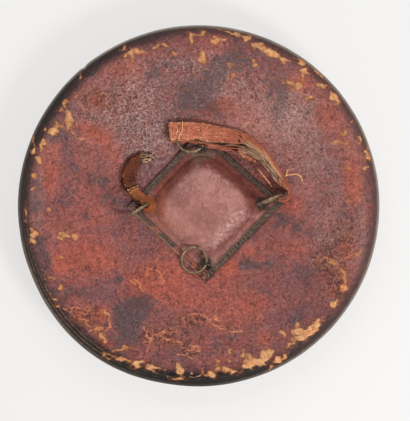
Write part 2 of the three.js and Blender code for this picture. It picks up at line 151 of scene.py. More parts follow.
def tube(points, ring=False):
    """A closed body from a grid of rows that each close on themselves. Open ends are closed with
    a fan about the middle of their row."""
    rows, columns = points.shape[:2]
    corners = points.reshape(-1, 3)
    quads = tube_faces(rows, columns, ring)
    if ring:
        return facing_out(corners, quads, np.zeros((0, 3), int))
    ends = np.stack([points[0].mean(0), points[-1].mean(0)])
    j = np.arange(columns)
    last = (rows - 1) * columns
    first_fan = np.stack([(j + 1) % columns, j, np.full(columns, rows * columns)], -1)
    last_fan = np.stack([last + j, last + (j + 1) % columns, np.full(columns, rows * columns + 1)], -1)
    return facing_out(np.vstack([corners, ends]), quads, np.vstack([first_fan, last_fan]))


def slab(top, bottom):
    """A closed body between two grids of the same size, joined by walls round their borders."""
    rows, columns = top.shape[:2]
    count = rows * columns
    i, j = np.meshgrid(np.arange(rows - 1), np.arange(columns - 1), indexing="ij")
    a = (i * columns + j).ravel()
    b, c, d = a + columns, a + columns + 1, a + 1
    faces = [np.stack([a, b, c, d], -1), np.stack([a, d, c, b], -1) + count]
    index = np.arange(count).reshape(rows, columns)
    border = np.concatenate([index[0, :-1], index[:-1, -1], index[-1, :0:-1], index[:0:-1, 0]])
    after = np.roll(border, -1)
    faces.append(np.stack([border, after, after + count, border + count], -1))
    corners = np.vstack([top.reshape(-1, 3), bottom.reshape(-1, 3)])
    return facing_out(corners, np.vstack(faces), np.zeros((0, 3), int))


def joined(*bodies):
    """Several bodies as one list of corners and faces."""
    corners, quads, triangles, start = [], [], [], 0
    for part_corners, part_quads, part_triangles in bodies:
        corners.append(part_corners)
        quads.append(part_quads + start)
        triangles.append(part_triangles + start)
        start += len(part_corners)
    return np.vstack(corners), np.vstack(quads), np.vstack(triangles)


def piece(name, body, material, slot, *nodes, fields=None, rest=None):
    """One object of the model from corners in millimetres, standing for the named CAD nodes. It
    carries the given fields, and the corners past a field's last value get its value in rest."""
    corners, quads, triangles = body
    mesh = bpy.data.meshes.new(name)
    mesh.vertices.add(len(corners))
    mesh.vertices.foreach_set("co", (corners * METRES).astype(np.float32).ravel())
    loops = np.concatenate([quads.ravel(), triangles.ravel()])
    mesh.loops.add(len(loops))
    mesh.loops.foreach_set("vertex_index", loops.astype(np.int32))
    starts = np.concatenate(
        [np.arange(len(quads)) * 4, 4 * len(quads) + np.arange(len(triangles)) * 3]
    )
    mesh.polygons.add(len(starts))
    mesh.polygons.foreach_set("loop_start", starts.astype(np.int32))
    mesh.update(calc_edges=True)
    mesh.validate()
    mesh.shade_smooth()
    for field, values in (fields or {}).items():
        short = len(corners) - values.size
        values = np.concatenate([values.ravel(), np.broadcast_to((rest or {}).get(field, 0.0), short)])
        mesh.attributes.new(field, "FLOAT", "POINT").data.foreach_set("value", values.astype(np.float32))
    made = bpy.data.objects.new(name, mesh)
    bpy.context.scene.collection.objects.link(made)
    mesh.materials.append(material)
    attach(made, "root")
    if nodes:
        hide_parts(*nodes)
    return made


def outward(points):
    """Unit normals of a grid whose columns close on themselves: the cross product of the steps
    from row to row and from column to column."""
    around = np.roll(points, -1, 1) - np.roll(points, 1, 1)
    return unit(np.cross(np.gradient(points, axis=0), around))


def rope(path, radius, up, sides=10, ring=False):
    """A round bar along a path: at each point a circle across the run, whose first axis is the
    run crossed with the direction up."""
    run = np.roll(path, -1, 0) - np.roll(path, 1, 0) if ring else np.gradient(path, axis=0)
    run = unit(run)
    side = unit(np.cross(run, np.broadcast_to(up, run.shape)))
    over = np.cross(side, run)
    turn = np.linspace(0, 2 * np.pi, sides, endpoint=False)
    radius = np.broadcast_to(radius, len(path))[:, None, None]
    circle = np.cos(turn)[None, :, None] * side[:, None] + np.sin(turn)[None, :, None] * over[:, None]
    return path[:, None] + radius * circle


def spline(stations, share):
    """The centripetal Catmull-Rom curve through the stations: a cubic on each span whose end
    slopes come from the neighbouring spans, weighted by the square roots of their lengths."""
    points = np.asarray(stations, float)
    points = np.vstack([2 * points[0] - points[1], points, 2 * points[-1] - points[-2]])
    spans = len(points) - 3
    at = np.minimum(np.asarray(share) * spans, spans - 1e-9)
    i = at.astype(int)
    w = (at - i)[:, None]
    p0, p1, p2, p3 = (points[i + k] for k in range(4))
    d0, d1, d2 = (
        np.sqrt(np.linalg.norm(b - a, axis=-1, keepdims=True)) for a, b in ((p0, p1), (p1, p2), (p2, p3))
    )
    m1 = ((p1 - p0) / d0 - (p2 - p0) / (d0 + d1) + (p2 - p1) / d1) * d1
    m2 = ((p2 - p1) / d1 - (p3 - p1) / (d1 + d2) + (p3 - p2) / d2) * d1
    return p1 + m1 * w + (3 * (p2 - p1) - 2 * m1 - m2) * w**2 + (2 * (p1 - p2) + m1 + m2) * w**3


# Finishes: node trees written as expressions

# Colours of the lacquer, of its stains with their painted shadow and grey sheen, of its painted pale sheen
# and glints, of its grain and cracks, of the rim with its painted reflection and of bare hide
RED = tint(158, 80, 70)
ORANGE = tint(186, 94, 73)
PURPLE = tint(112, 66, 68)
SHINE = tint(220, 172, 160)
DARK_STAIN_AND_SHADE = tint(54, 42, 43)
GREY_STAIN_AND_SHEEN = tint(100, 80, 84)
SPECK = tint(72, 36, 36)
CREASE = tint(52, 28, 30)
PALE_FIBRE_AND_GLINT = tint(228, 188, 180)
ORANGE_FIBRE_AND_GLINT = tint(214, 134, 100)
CRACKLED = tint(66, 30, 30)
CRACK = tint(218, 136, 96)
BROWN_EDGE = tint(64, 40, 42)
RIM = tint(18, 10, 9)
RUSTY_RIM = tint(84, 50, 42)
OLIVE_REFLECTION = tint(164, 152, 134)
SPLIT = tint(158, 134, 100)
OCHRE = tint(190, 116, 70)
PALE_OCHRE = tint(238, 186, 132)
PATCH_EDGE = tint(140, 70, 44)
VEIN = tint(226, 142, 96)
TAN = tint(184, 106, 60)


class Signal:
    """One socket of a finish. Arithmetic on it adds Math nodes."""

    def __init__(self, finish, socket):
        self.finish = finish
        self.socket = socket

    def math(self, operation, *values):
        """A Math node on the values, in their order."""
        return self.finish.node("ShaderNodeMath", {"operation": operation}, dict(enumerate(values)))

    def __add__(self, other):
        return self.math("ADD", self, other)

    def __sub__(self, other):
        return self.math("SUBTRACT", self, other)

    def __rsub__(self, other):
        return self.math("SUBTRACT", other, self)

    def __mul__(self, other):
        return self.math("MULTIPLY", self, other)

    def __truediv__(self, other):
        return self.math("DIVIDE", self, other)

    def __abs__(self):
        return self.math("ABSOLUTE", self)

    def fract(self):
        """What is left over the whole number below."""
        return self.math("FRACT", self)

    def ridge(self, width):
        """1 along the lines where a noise about 0.5 passes its middle, and 0 further off."""
        return abs(self - 0.5).step(width, 0.0)

    def step(self, low, high):
        """0 below low and 1 above high, with a smooth rise between."""
        settings = {"interpolation_type": "SMOOTHSTEP"}
        sockets = {0: self, 1: low, 2: high, 3: 0.0, 4: 1.0}
        if low > high:
            sockets.update({1: high, 2: low, 3: 1.0, 4: 0.0})
        return self.finish.node("ShaderNodeMapRange", settings, sockets)

    __radd__ = __add__
    __rmul__ = __mul__


class Finish:
    """A material whose nodes are added by expressions. Sizes of patterns are in millimetres."""

    def __init__(self, name, **constants):
        self.material = bpy.data.materials.new(name)
        self.material.use_nodes = True
        self.tree = self.material.node_tree
        self.shader = self.tree.nodes["Principled BSDF"]
        for socket, value in constants.items():
            self.shader.inputs[socket.replace("_", " ")].default_value = value
        self.place = self.node("ShaderNodeTexCoord", out="Object")

    def node(self, kind, settings=None, sockets=None, out=0):
        """A node of the given kind: its settings first, then its sockets' values or links."""
        made = self.tree.nodes.new(kind)
        for key, value in (settings or {}).items():
            setattr(made, key, value)
        for key, value in (sockets or {}).items():
            self.feed(made.inputs[key], value)
        return Signal(self, made.outputs[out])

    def feed(self, socket, value):
        """Links a signal to the socket, or sets a plain value on it."""
        if isinstance(value, Signal):
            self.tree.links.new(value.socket, socket)
        else:
            socket.default_value = value

    def noise(self, size, detail=3.0, rough=0.55, bend=0.0, at=None, shift=0.0):
        """Fractal noise about 0.5, with features about size long."""
        sockets = {
            "Vector": at or self.place,
            "W": shift,
            "Scale": 1 / (size * METRES),
            "Detail": detail,
            "Roughness": rough,
            "Distortion": bend,
        }
        return self.node("ShaderNodeTexNoise", {"noise_dimensions": "4D"}, sockets)

    def cells(self, size, at):
        """Distance to the edge of random cells about size long, as a share of that size."""
        sockets = {"Vector": at, "Scale": 1 / (size * METRES)}
        return self.node("ShaderNodeTexVoronoi", {"feature": "DISTANCE_TO_EDGE"}, sockets)

    def field(self, name):
        """A value that the mesh carries."""
        return self.node("ShaderNodeAttribute", {"attribute_name": name}, out="Fac")

    def mix(self, share, first, second, blend="MIX"):
        """The first colour taken towards the second by the share."""
        settings = {"data_type": "RGBA", "blend_type": blend}
        return self.node("ShaderNodeMix", settings, {0: share, 6: first, 7: second}, out=2)

    def moved(self, amount, by):
        """The object place pushed by a noise's colour, for patterns with broken outlines."""
        centred = self.node("ShaderNodeVectorMath", {"operation": "SUBTRACT"}, {0: by, 1: (0.5, 0.5, 0.5)})
        settings = {"operation": "MULTIPLY_ADD"}
        sockets = {0: centred, 1: (amount * METRES,) * 3, 2: self.place}
        return self.node("ShaderNodeVectorMath", settings, sockets)

    def bump(self, height, depth, strength=1.0):
        """A normal tilted by the slope of a pattern whose unit is depth high."""
        sockets = {"Height": height, "Distance": depth * METRES, "Strength": strength}
        return self.node("ShaderNodeBump", None, sockets)

    def wear(self, **sockets):
        """Feeds the shader's varying sockets and gives the material."""
        for socket, value in sockets.items():
            self.feed(self.shader.inputs[socket.replace("_", " ")], value)
        return self.material


# Marks on the hide, in millimetres as seen from above. Worn ochre patches: middle, half length,
# half width and turn in degrees
WORN = [
    (-85, 192, 7.7, 2.3, 90), (-73, 195, 8.5, 1.8, -20), (-78, 195, 3.1, 2.5, 0),
    (-55, 200, 4, 1.7, 35), (-43, 202, 3.4, 2.2, 20), (-32, 193, 2.6, 1.4, -50),
    (-10, 210, 4.9, 2.2, 95), (-5, 216, 3.8, 0.8, -15), (-95, 199, 2.5, 1.1, 20),
    (-92, 190, 1.4, 1.1, 0), (-164, 111, 8, 4, 98), (-166, 101, 4, 1.9, 90), (-184, 94, 4.9, 4, 30),
    (-177, 100, 3.1, 1.2, 0), (-193, 96, 2.5, 2, 90), (-169, 129, 3.1, 2, 90),
    (-149, 162, 2.8, 1.5, 90), (-196, 82, 2.8, 1.8, 60), (-198, 74, 3.4, 1.5, 80),
    (-209, 83, 6.1, 1.4, 90), (-7, 170, 1.2, 1.2, 0), (-155, 139, 1.2, 1.2, 0),
    (-174, 121, 2.2, 1.1, 0), (-179, 105, 2.8, 1.1, 0), (21, 208, 6.8, 3.6, 20), (31, 210, 2.9, 1.9, 0),
    (5, 188, 6.8, 3.9, 95), (-5, 216, 3.6, 1.1, 0), (5, 218, 2.9, 1.5, 20), (44, 218, 12.1, 1.3, -17),
    (61, 211, 4.2, 2.9, 40), (77, 200, 9.4, 3.6, -22), (91, 193, 9.4, 4.4, -25),
    (107, 185, 5.8, 2.9, -30), (41, 179, 2.9, 1.3, 20), (71, 180, 2.6, 2.1, 90),
    (42, 164, 4.3, 0.8, 60), (133, 169, 6.8, 3.6, -25), (131, 181, 7.1, 1.9, -32),
    (115, 157, 6.8, 2.3, -20), (126, 152, 4.5, 2.6, 20), (141, 137, 4.5, 1.8, 15),
    (157, 151, 6.1, 1.6, -8), (153, 167, 4.8, 1.5, -38), (172, 136, 8.1, 3.6, -55),
    (177, 80, 11.4, 1.3, -3), (184, 92, 2.6, 1.3, 90), (204, 83, 3.9, 2.1, 90), (212, 68, 4.2, 1.5, 90),
    (214, 61, 3.6, 1.8, 0), (206, 61, 1.5, 1.3, 90), (192, 107, 1.6, 1.5, 90), (210, 48, 2.2, 1.9, 0),
    (189, 47, 2.4, 0.9, -25), (196, 35, 1.1, 1.1, 0), (190, 6, 2.1, 1.3, 20), (170, -71, 4.6, 2.7, 0),
    (183, -86, 5.6, 1.2, 95), (185, -93, 4.9, 1.1, 90), (183, -105, 4.4, 3.2, 20),
    (201, -60, 3, 0.8, 35), (-196, 78, 3.1, 2.1, 60), (-208, 70, 2.8, 2.3, 0),
    (-201, 57, 5.2, 3.1, -50), (-206, 38, 2.6, 1.3, 20), (-208, 22, 3.1, 1.6, 60),
    (-191, -6, 2.6, 1.6, 20), (-207, -35, 4.9, 4.4, 20), (-210, -44, 2.3, 2.3, 0),
    (-172, -37, 7.1, 4.4, 0), (-157, -39, 3.4, 2.6, 90), (-162, -39, 1.6, 1, 0),
    (-176, -67, 1.7, 1.2, 0), (-185, -91, 4.7, 1.7, 0), (-174, -103, 3.6, 2.6, 90),
    (-219, -8, 3.6, 1.3, 90), (-95, -81, 1.3, 0.8, 90), (-137, -89, 0.9, 0.8, 90),
    (-181, -118, 3.4, 1.8, -30), (-178, -126, 2, 1.4, 0), (-169, -131, 1.8, 1.1, 0),
    (-117, -136, 3.1, 2.5, 90), (-130, -155, 3.7, 1.4, 70), (-121, -167, 6.1, 2.6, -50),
    (-97, -181, 8, 1.4, 10), (-97, -193, 9.2, 2.2, -10), (-78, -199, 7.1, 3.7, 15),
    (-57, -204, 7.7, 3.1, -5), (-24, -207, 7.1, 3.4, 110), (-26, -219, 6.1, 2, 5),
    (16, -213, 6.5, 3.1, -10), (23, -206, 2.8, 1.8, 90), (-141, -148, 4, 1.2, -60),
    (-115, -189, 3.8, 1.2, -10), (24, -207, 1.9, 1.3, 0), (23, -198, 2.5, 1.5, 90),
    (40, -208, 9, 2.9, -8), (40, -185, 2.3, 1.8, 90), (40, -197, 1.8, 1.5, 90),
    (56, -189, 2.6, 2.3, 90), (64, -191, 3.8, 2.2, 0), (66, -199, 8.7, 5, 8), (79, -196, 8.7, 4.7, 15),
    (85, -189, 7.3, 4.7, 25), (90, -185, 3.8, 3.2, 0), (58, -202, 3.8, 3.2, 90),
    (100, -195, 4.4, 2.8, 60), (107, -193, 3.8, 1.6, 60), (108, -163, 3.2, 3.2, 0),
    (125, -151, 2.5, 2.2, 0), (126, -160, 7, 5.5, 0), (130, -167, 6.4, 2.9, 0),
    (139, -159, 10.2, 5.2, 30), (147, -151, 8, 3.8, 50), (152, -146, 2.6, 2.6, 0),
    (116, -174, 5.8, 1.6, 35), (171, -123, 5.2, 3.5, 50), (68, -144, 1, 1, 0), (90, -205, 1.6, 1, 90),
]
# Bare veins, as lines
VEINS = [
    [(160, -66), (170, -71), (176, -75), (181, -79), (183, -84), (184, -93), (184, -104)],
    [(182, -68), (191, -64), (204, -58)],
    [(-24, -189), (-14, -189), (-8, -183), (1, -184)],
    [(-8, -195), (-14, -189), (-16, -181), (-24, -175), (-31, -174)],
    [(-11, -178), (1, -181)],
    [(-70, -157), (-63, -169), (-53, -163), (-41, -161), (-24, -161)],
    [(-63, -169), (-61, -178), (-67, -185)],
    [(-45, -169), (-33, -171)],
    [(-85, 184), (-84, 169)],
    [(-163, -132), (-153, -128), (-142, -133)],
    [(-155, -140), (-145, -143), (-139, -149)],
    [(-117, -136), (-112, -149), (-115, -157)],
    [(-122, -156), (-131, -155), (-137, -158)],
    [(4, -140), (19, -154), (30, -157), (41, -161), (61, -161)],
    [(7, -205), (1, -214), (-10, -215)],
    [(-164, 98), (-155, 86), (-146, 85)],
    [(-22, -144), (-10, -140), (9, -141), (26, -146)],
    [(-51, -87), (-47, -91), (-47, -97), (-49, -102)],
    [(-68, -88), (-66, -84), (-57, -83), (-51, -87)],
    [(-85, -99), (-77, -105), (-73, -110)],
    [(-81, -96), (-71, -107)],
]
# Soft marks: middle, reach across and up, strength. Dark stains, among them a painted shadow beside the
# stub and a painted grey sheen near the top, then warm places, pebbled ones with painted glints, ones
# with a painted pale sheen, partly paler leather, and crackled ones
STAINS_SHADOW_AND_SHEEN = [
    (53, 192, 18, 12, 0.6), (37, 180, 24, 15, 0.7), (17, 164, 24, 21, 0.75), (5, 143, 24, 21, 0.7),
    (2, 127, 30, 9, 0.6), (98, 151, 15, 15, 0.6), (108, 136, 12, 21, 0.5), (146, 120, 12, 12, 0.5),
    (85, 167, 18, 15, 0.35), (100, 113, 15, 21, 0.4), (25, 113, 12, 6, 0.6), (-109, 137, 5, 19, 0.9),
    (-56, 171, 18, 12, 0.6), (-17, 143, 21, 18, 0.5), (-130, 166, 12, 9, 0.4),
    (-151, 141, 12, 20, 0.45), (-127, 113, 12, 12, 0.4), (-179, 90, 13, 15, 0.8),
    (-131, 34, 24, 15, 0.7), (-121, 10, 10, 9, 0.8), (-163, 59, 7, 18, 0.6), (-175, 4, 10, 7, 0.7),
    (-146, -13, 9, 9, 0.6), (-98, 4, 14, 14, 0.7), (-205, 14, 7, 32, 0.8), (-201, -43, 7, 18, 0.7),
    (-192, -71, 7, 20, 0.6), (-182, -107, 12, 12, 0.6), (-75, -128, 18, 13, 1.3),
    (-91, -149, 18, 27, 1), (-99, -136, 12, 9, 0.6), (-152, -111, 23, 9, 0.6), (-108, -96, 18, 9, 0.5),
    (-84, -171, 21, 9, 0.5), (-49, -184, 15, 15, 0.5), (2, -166, 15, 21, 0.45),
    (46, -170, 24, 15, 0.55), (82, -78, 30, 6, 0.8), (63, -73, 12, 9, 0.6), (141, -85, 21, 15, 0.6),
    (111, -121, 24, 15, 0.3), (54, -98, 18, 6, 0.4), (88, -111, 7, 2, 1.2), (160, 14, 12, 15, 0.6),
    (187, -8, 15, 12, 0.6), (211, 26, 6, 23, 0.6), (125, -25, 21, 15, 0.45), (106, -16, 15, 15, 0.5),
    (129, -146, 21, 15, 0.4), (-25, 102, 12, 9, 0.5), (-63, 111, 30, 30, 0.35), (-37, 186, 15, 12, 0.4),
    (168, -57, 9, 12, 0.4), (34, 86, 30, 9, 0.3),
]
WARMTH = [
    (-130, 135, 15, 15, 0.7), (-98, 173, 15, 12, 0.6), (-127, 91, 18, 12, 0.7), (-146, 100, 15, 9, 0.6),
    (-190, 41, 7, 23, 1.2), (-183, 71, 7, 15, 0.6), (-115, 70, 15, 15, 0.5), (-147, -57, 33, 24, 0.6),
    (-177, -75, 12, 18, 0.7), (-134, -72, 30, 18, 0.7), (-61, -96, 21, 18, 1), (-76, -101, 12, 12, 1),
    (-31, -84, 30, 21, 0.6), (-37, -116, 37, 18, 0.5), (8, -122, 33, 24, 0.4), (42, -76, 9, 8, 1.3),
    (34, -90, 21, 15, 0.8), (67, -58, 15, 9, 0.7), (193, 46, 9, 18, 1), (199, 20, 12, 20, 1),
    (167, 109, 15, 20, 0.6), (122, 0, 12, 10, 1.3), (186, 84, 12, 15, 0.5), (129, 154, 20, 12, 0.9),
    (25, 132, 12, 9, 0.7), (13, 122, 12, 9, 0.7), (157, 116, 12, 15, 0.7), (53, -141, 45, 21, 0.4),
    (85, -169, 9, 6, 0.9), (73, -122, 30, 15, 0.5), (131, -57, 21, 15, 0.5), (186, -56, 12, 15, 0.7),
    (-126, -137, 9, 9, 1.1), (-153, -142, 12, 7, 0.9), (-123, -176, 17, 6, 0.9),
    (-133, -16, 24, 15, 0.4), (40, 127, 18, 21, 0.4), (66, 111, 21, 15, 0.4), (4, 189, 7, 10, 0.9),
]
# Pebbled places, where the pale web is painted as glints from the lights
PEBBLED_GLINTS = [
    (-95, 124, 60, 50, 1), (-60, 75, 30, 30, 0.7), (40, 149, 45, 40, 0.7), (130, 72, 40, 50, 0.5),
    (175, -12, 20, 40, 0.5), (110, 120, 40, 30, 0.6), (-20, 180, 50, 20, 0.5), (170, -60, 25, 25, 0.7),
]
# Painted pale sheen from the lights, partly paler leather
SHEEN = [
    (112, 120, 45, 38, 0.6), (150, 50, 34, 45, 0.25), (22, 160, 16, 26, 0.6), (150, -10, 30, 30, 0.1),
    (60, 100, 30, 20, 0.25), (-60, 150, 30, 20, 0.15), (-206, 20, 9, 60, 0.5), (-190, 90, 12, 30, 0.3),
    (205, -40, 8, 60, 0.5), (195, 90, 9, 40, 0.3),
]
CRACKED = [
    (187, -37, 32, 29, 0.6), (173, -101, 20, 20, 0.8), (-50, -168, 32, 16, 1),
    (-145, -139, 22, 19, 0.9), (-11, -184, 13, 10, 0.9), (162, -69, 24, 18, 0.7),
    (-11, -145, 24, 10, 0.7), (130, -114, 15, 15, 0.4), (-131, 135, 26, 21, 0.55),
    (-89, 136, 36, 30, 0.4), (169, 20, 21, 21, 0.35), (21, -147, 36, 12, 0.3),
]


def mottled(f, broad, patch, fleck, grain):
    """Red-brown between purple and orange, a painted pale sheen in places, grey and black stains with a
    painted shadow and a painted grey sheen among them, and dark specks, all lighter or darker by the four
    noises. Gives the colour and how stained and shaded it is."""
    warm, pebbled_glints = f.field("warm"), f.field("pebbled_glints")
    colour = f.mix((broad * 0.55 + patch * 0.6 - warm * 0.2).step(0.5, 0.64), RED, PURPLE)
    glow = (patch * 0.6 + fleck * 0.45 + warm * 0.18 - 0.06).step(0.47, 0.78)
    colour = f.mix(glow * 0.75, colour, ORANGE)
    # A painted pale sheen, partly paler leather
    colour = f.mix(f.field("sheen") * 0.5, colour, SHINE)
    # Dark stains, partly painted: a painted shadow beside the stub and a painted grey sheen near the top
    soot_shadow_and_sheen = (f.field("dark") + (patch - 0.5) * 3.4 + (fleck - 0.5) * 1.6).step(0.3, 0.82)
    colour = f.mix(soot_shadow_and_sheen * 0.85, colour, f.mix(fleck.step(0.42, 0.6), GREY_STAIN_AND_SHEEN, DARK_STAIN_AND_SHADE))
    colour = f.mix((fleck * 0.85 + grain * 0.2).step(0.52, 0.36) * 0.6, colour, SPECK)
    tone = (grain - 0.5) * (0.9 + pebbled_glints * 1.1) + (fleck - 0.5) * 2.2
    tone = tone + 0.95 + (patch - 0.5) * 2.8 + (broad - 0.5) * 0.8
    return f.mix(1.0, colour, tone, "MULTIPLY"), soot_shadow_and_sheen


def grained(f, colour, soot_shadow_and_sheen, shake, patch, fleck, grain):
    """Dark creases, dark pebbles in a pale web whose lines are painted glints where the hide is pebbled,
    and pale fibres. Gives the colour, the pale lines with their painted glints, and the creases."""
    pebbled_glints = f.field("pebbled_glints")
    creases = f.noise(7, 6, 0.75, 1.6, shift=11).ridge(0.016) * patch.step(0.42, 0.62)
    fibres = f.noise(7, 6, 0.72, 1.2, shift=13).ridge(0.035) * grain.step(0.36, 0.52)
    colour = f.mix(creases * 0.6, colour, CREASE)
    cells = f.cells(4.2, f.moved(9, shake))
    web = cells.step(0.2, 0.05) * grain.step(0.4, 0.54)
    web = web * (patch * 0.8 + fleck * 0.5 + pebbled_glints * 0.1).step(0.58, 0.76)
    colour = f.mix(cells.step(0.2, 0.5) * pebbled_glints.step(0.3, 1.1) * 0.6, colour, SPECK)
    # Pale fibres, and painted glints in the web where the hide is pebbled
    lines = (web * (0.1 + pebbled_glints * 0.75) + fibres * (0.2 + pebbled_glints * 0.35)) * (1 - soot_shadow_and_sheen * 0.6)
    colour = f.mix(lines, colour, f.mix(f.field("warm").step(0.2, 0.8), PALE_FIBRE_AND_GLINT, ORANGE_FIBRE_AND_GLINT))
    return colour, lines, creases


def cracked(f, colour, shake, patch, fleck):
    """Dark crackled places with orange cracks. Gives the colour and the cracks."""
    crackled = (f.field("crackle") + (patch - 0.5) * 2).step(0.35, 0.7)
    colour = f.mix(crackled * fleck.step(0.64, 0.42) * 0.7, colour, CRACKLED)
    crack = f.cells(6.5, f.moved(16, shake)).step(0.085, 0.015)
    crack = crack * crackled * (fleck * 0.7 + patch * 0.4).step(0.5, 0.56)
    return f.mix(crack * 0.85, colour, CRACK), crack


def darkened_rim(f, colour, past, shade, broad, patch, fleck):
    """Brown towards the crest and near black past it by the shade of that side, partly black lacquer and
    partly painted shade, with a ragged start, a painted olive reflection along the edge and split layers."""
    ragged = past + (patch - 0.5) * 10 + (fleck - 0.5) * 5 + (shade - 0.6) * 10
    colour = f.mix((ragged + (broad - 0.5) * 24).step(-16, 2) * 0.45, colour, BROWN_EDGE)
    under = f.mix(fleck.step(0.5, 0.7) * (1.2 - shade), RIM, RUSTY_RIM)
    front = past.step(26, 36)
    shaded = (0.3 + shade * 0.7) * (1 - front) + front * 0.62
    colour = f.mix(ragged.step(-5, 6) * shaded, colour, under)
    # A painted olive reflection along the rim's edge
    edge_reflection = (past + (fleck - 0.5) * 4).step(9, 15) * past.step(34, 22) * f.field("rim_painted_reflection")
    colour = f.mix(edge_reflection * 0.9, colour, OLIVE_REFLECTION)
    ply = abs(((past + (patch - 0.5) * 3) / 4.2).fract() - 0.5).step(0.14, 0.03)
    return f.mix(ply * f.field("ply") * fleck.step(0.36, 0.6) * 0.9, colour, SPLIT)


def worn_through(f, colour, past, fleck, grain):
    """Bare ochre patches with broken outlines, small chips near the crest, and veins. Gives the
    colour and how bare it is."""
    edge = f.field("wear") + (fleck - 0.5) * 9 + (grain - 0.5) * 5 - 0.6
    chips = f.noise(6, 4, 0.7, 0.5, shift=9).step(0.63, 0.67) * past.step(-14, -5) * past.step(7, 1)
    worn = edge.step(0.5, -0.5) * grain.step(0.26, 0.36) + chips * 0.8
    ochre = f.mix((grain * 0.6 + fleck * 0.6).step(0.5, 0.72), OCHRE, PALE_OCHRE)
    colour = f.mix(edge.step(2.2, 0) * 0.4, colour, PATCH_EDGE)
    colour = f.mix(worn, colour, ochre)
    vein = abs(f.field("vein") + (fleck - 0.5) * 3)
    veined = vein.step(1, 0.2) * f.field("vein_reach").step(3, 1.2) * fleck.step(0.3, 0.5)
    return f.mix(veined * 0.9, colour, VEIN), worn


def hide_finish():
    """Old lacquer: mottled, grained and cracked, with painted sheen, glints and shade in places, near black
    past the crest and worn to ochre in patches. The past field is the length past the crest in mm."""
    f = Finish("lacquered_hide", Specular_IOR_Level=0.36)
    broad = f.noise(60, 3, 0.6, 0.5)
    patch = f.noise(20, 6, 0.66, 2.2, shift=3)
    fleck = f.noise(6.5, 5, 0.7, 1.9, shift=5)
    grain = f.noise(2.3, 3, 0.7, 1.2, shift=7)
    shake = f.node("ShaderNodeTexNoise", None, {"Vector": f.place, "Scale": 180, "Detail": 4}, 1)
    past, shade = f.field("past"), f.field("rim_shade")
    colour, soot_shadow_and_sheen = mottled(f, broad, patch, fleck, grain)
    colour, lines, creases = grained(f, colour, soot_shadow_and_sheen, shake, patch, fleck, grain)
    colour, crack = cracked(f, colour, shake, patch, fleck)
    colour = darkened_rim(f, colour, past, shade, broad, patch, fleck)
    colour, worn = worn_through(f, colour, past, fleck, grain)
    relief = lines * 0.8 + grain * 0.4 + fleck * 2.0 - worn * 0.6 - crack * 0.4 - creases * 0.7
    rough = 0.27 + (fleck - 0.5) * 0.6 + worn * 0.35 + past.step(0, 8) * shade * 0.45
    return f.wear(Base_Color=colour, Roughness=rough, Normal=f.bump(relief, 1.0, 1.0))


def plain_finish(name, light, dark, size, rough, metal, depth=0.2, wear=None):
    """Two colours mottled at the given size, rubbed to a third where one is given, with a bump of
    the same pattern."""
    f = Finish(name, Metallic=metal)
    spots = f.noise(size, 4, 0.65, 0.3)
    grain = f.noise(size / 4, 2, 0.6, shift=4)
    colour = f.mix((spots * 0.7 + grain * 0.4).step(0.4, 0.7), light, dark)
    if wear:
        colour = f.mix(f.noise(size * 1.7, 3, 0.6, shift=8).step(0.52, 0.66), colour, wear)
    normal = f.bump(spots + grain * 0.6, depth, 0.8)
    return f.wear(Base_Color=colour, Roughness=rough + (grain - 0.5) * 0.3, Normal=normal)


def pad_finish():
    """Thin pinkish leather, dark red in the gutter round the pillow, partly its own colour and partly
    painted shade, tan where it is rubbed, greyer with pale flecks at its top corner, and with painted shade
    round the eyes."""
    f = Finish("pad_leather", Specular_IOR_Level=0.5)
    broad = f.noise(30, 3, 0.6, 0.5)
    mottling = f.noise(7, 4, 0.68, 0.6, shift=2)
    grain = f.noise(1.6, 2, 0.6, shift=6)
    fibres = f.noise(8, 6, 0.72, 1.2, shift=9).ridge(0.03) * grain.step(0.36, 0.56)
    flange = (f.field("flange") + (mottling - 0.5)).step(0.3, 0.9)
    gutter_red_and_shade = (f.field("gutter_red_and_shade") + (mottling - 0.5) * 0.9).step(0.1, 0.8)
    rubbed_tan = (f.field("tan") + (mottling - 0.5) * 1.6).step(0.25, 0.95)
    greyed_corner = (f.field("grey_corner") + (mottling - 0.5) * 2.2).step(0.3, 1.1)
    shaded_round_eyes = (f.field("eye_shade") + (mottling - 0.5)).step(0.3, 0.9)
    light_or_deep = (broad * 0.6 + mottling * 0.45).step(0.44, 0.62)
    colour = f.mix(light_or_deep, tint(172, 114, 104), tint(136, 80, 72))
    colour = f.mix(mottling.step(0.52, 0.68) * 0.6, colour, tint(184, 138, 130))
    colour = f.mix(fibres * 0.5, colour, tint(206, 162, 150))
    colour = f.mix(flange * 0.75, colour, tint(132, 76, 64))
    # The gutter's dark red: partly the leather's colour, partly painted shade
    colour = f.mix(gutter_red_and_shade * 0.9, colour, tint(98, 32, 18))
    colour = f.mix(rubbed_tan * 0.6, colour, tint(166, 90, 62))
    colour = f.mix(greyed_corner * 0.65, colour, tint(108, 92, 76))
    colour = f.mix(grain.step(0.62, 0.74) * f.field("grey_corner"), colour, tint(214, 184, 140))
    # Painted shade round the eyes
    colour = f.mix(shaded_round_eyes * 0.9, colour, tint(48, 30, 24))
    rough = 0.34 + (mottling - 0.5) * 0.5 + gutter_red_and_shade * 0.25
    normal = f.bump(mottling + grain * 0.4 + fibres * 0.4, 0.9, 1.0)
    return f.wear(Base_Color=colour, Roughness=rough, Normal=normal)


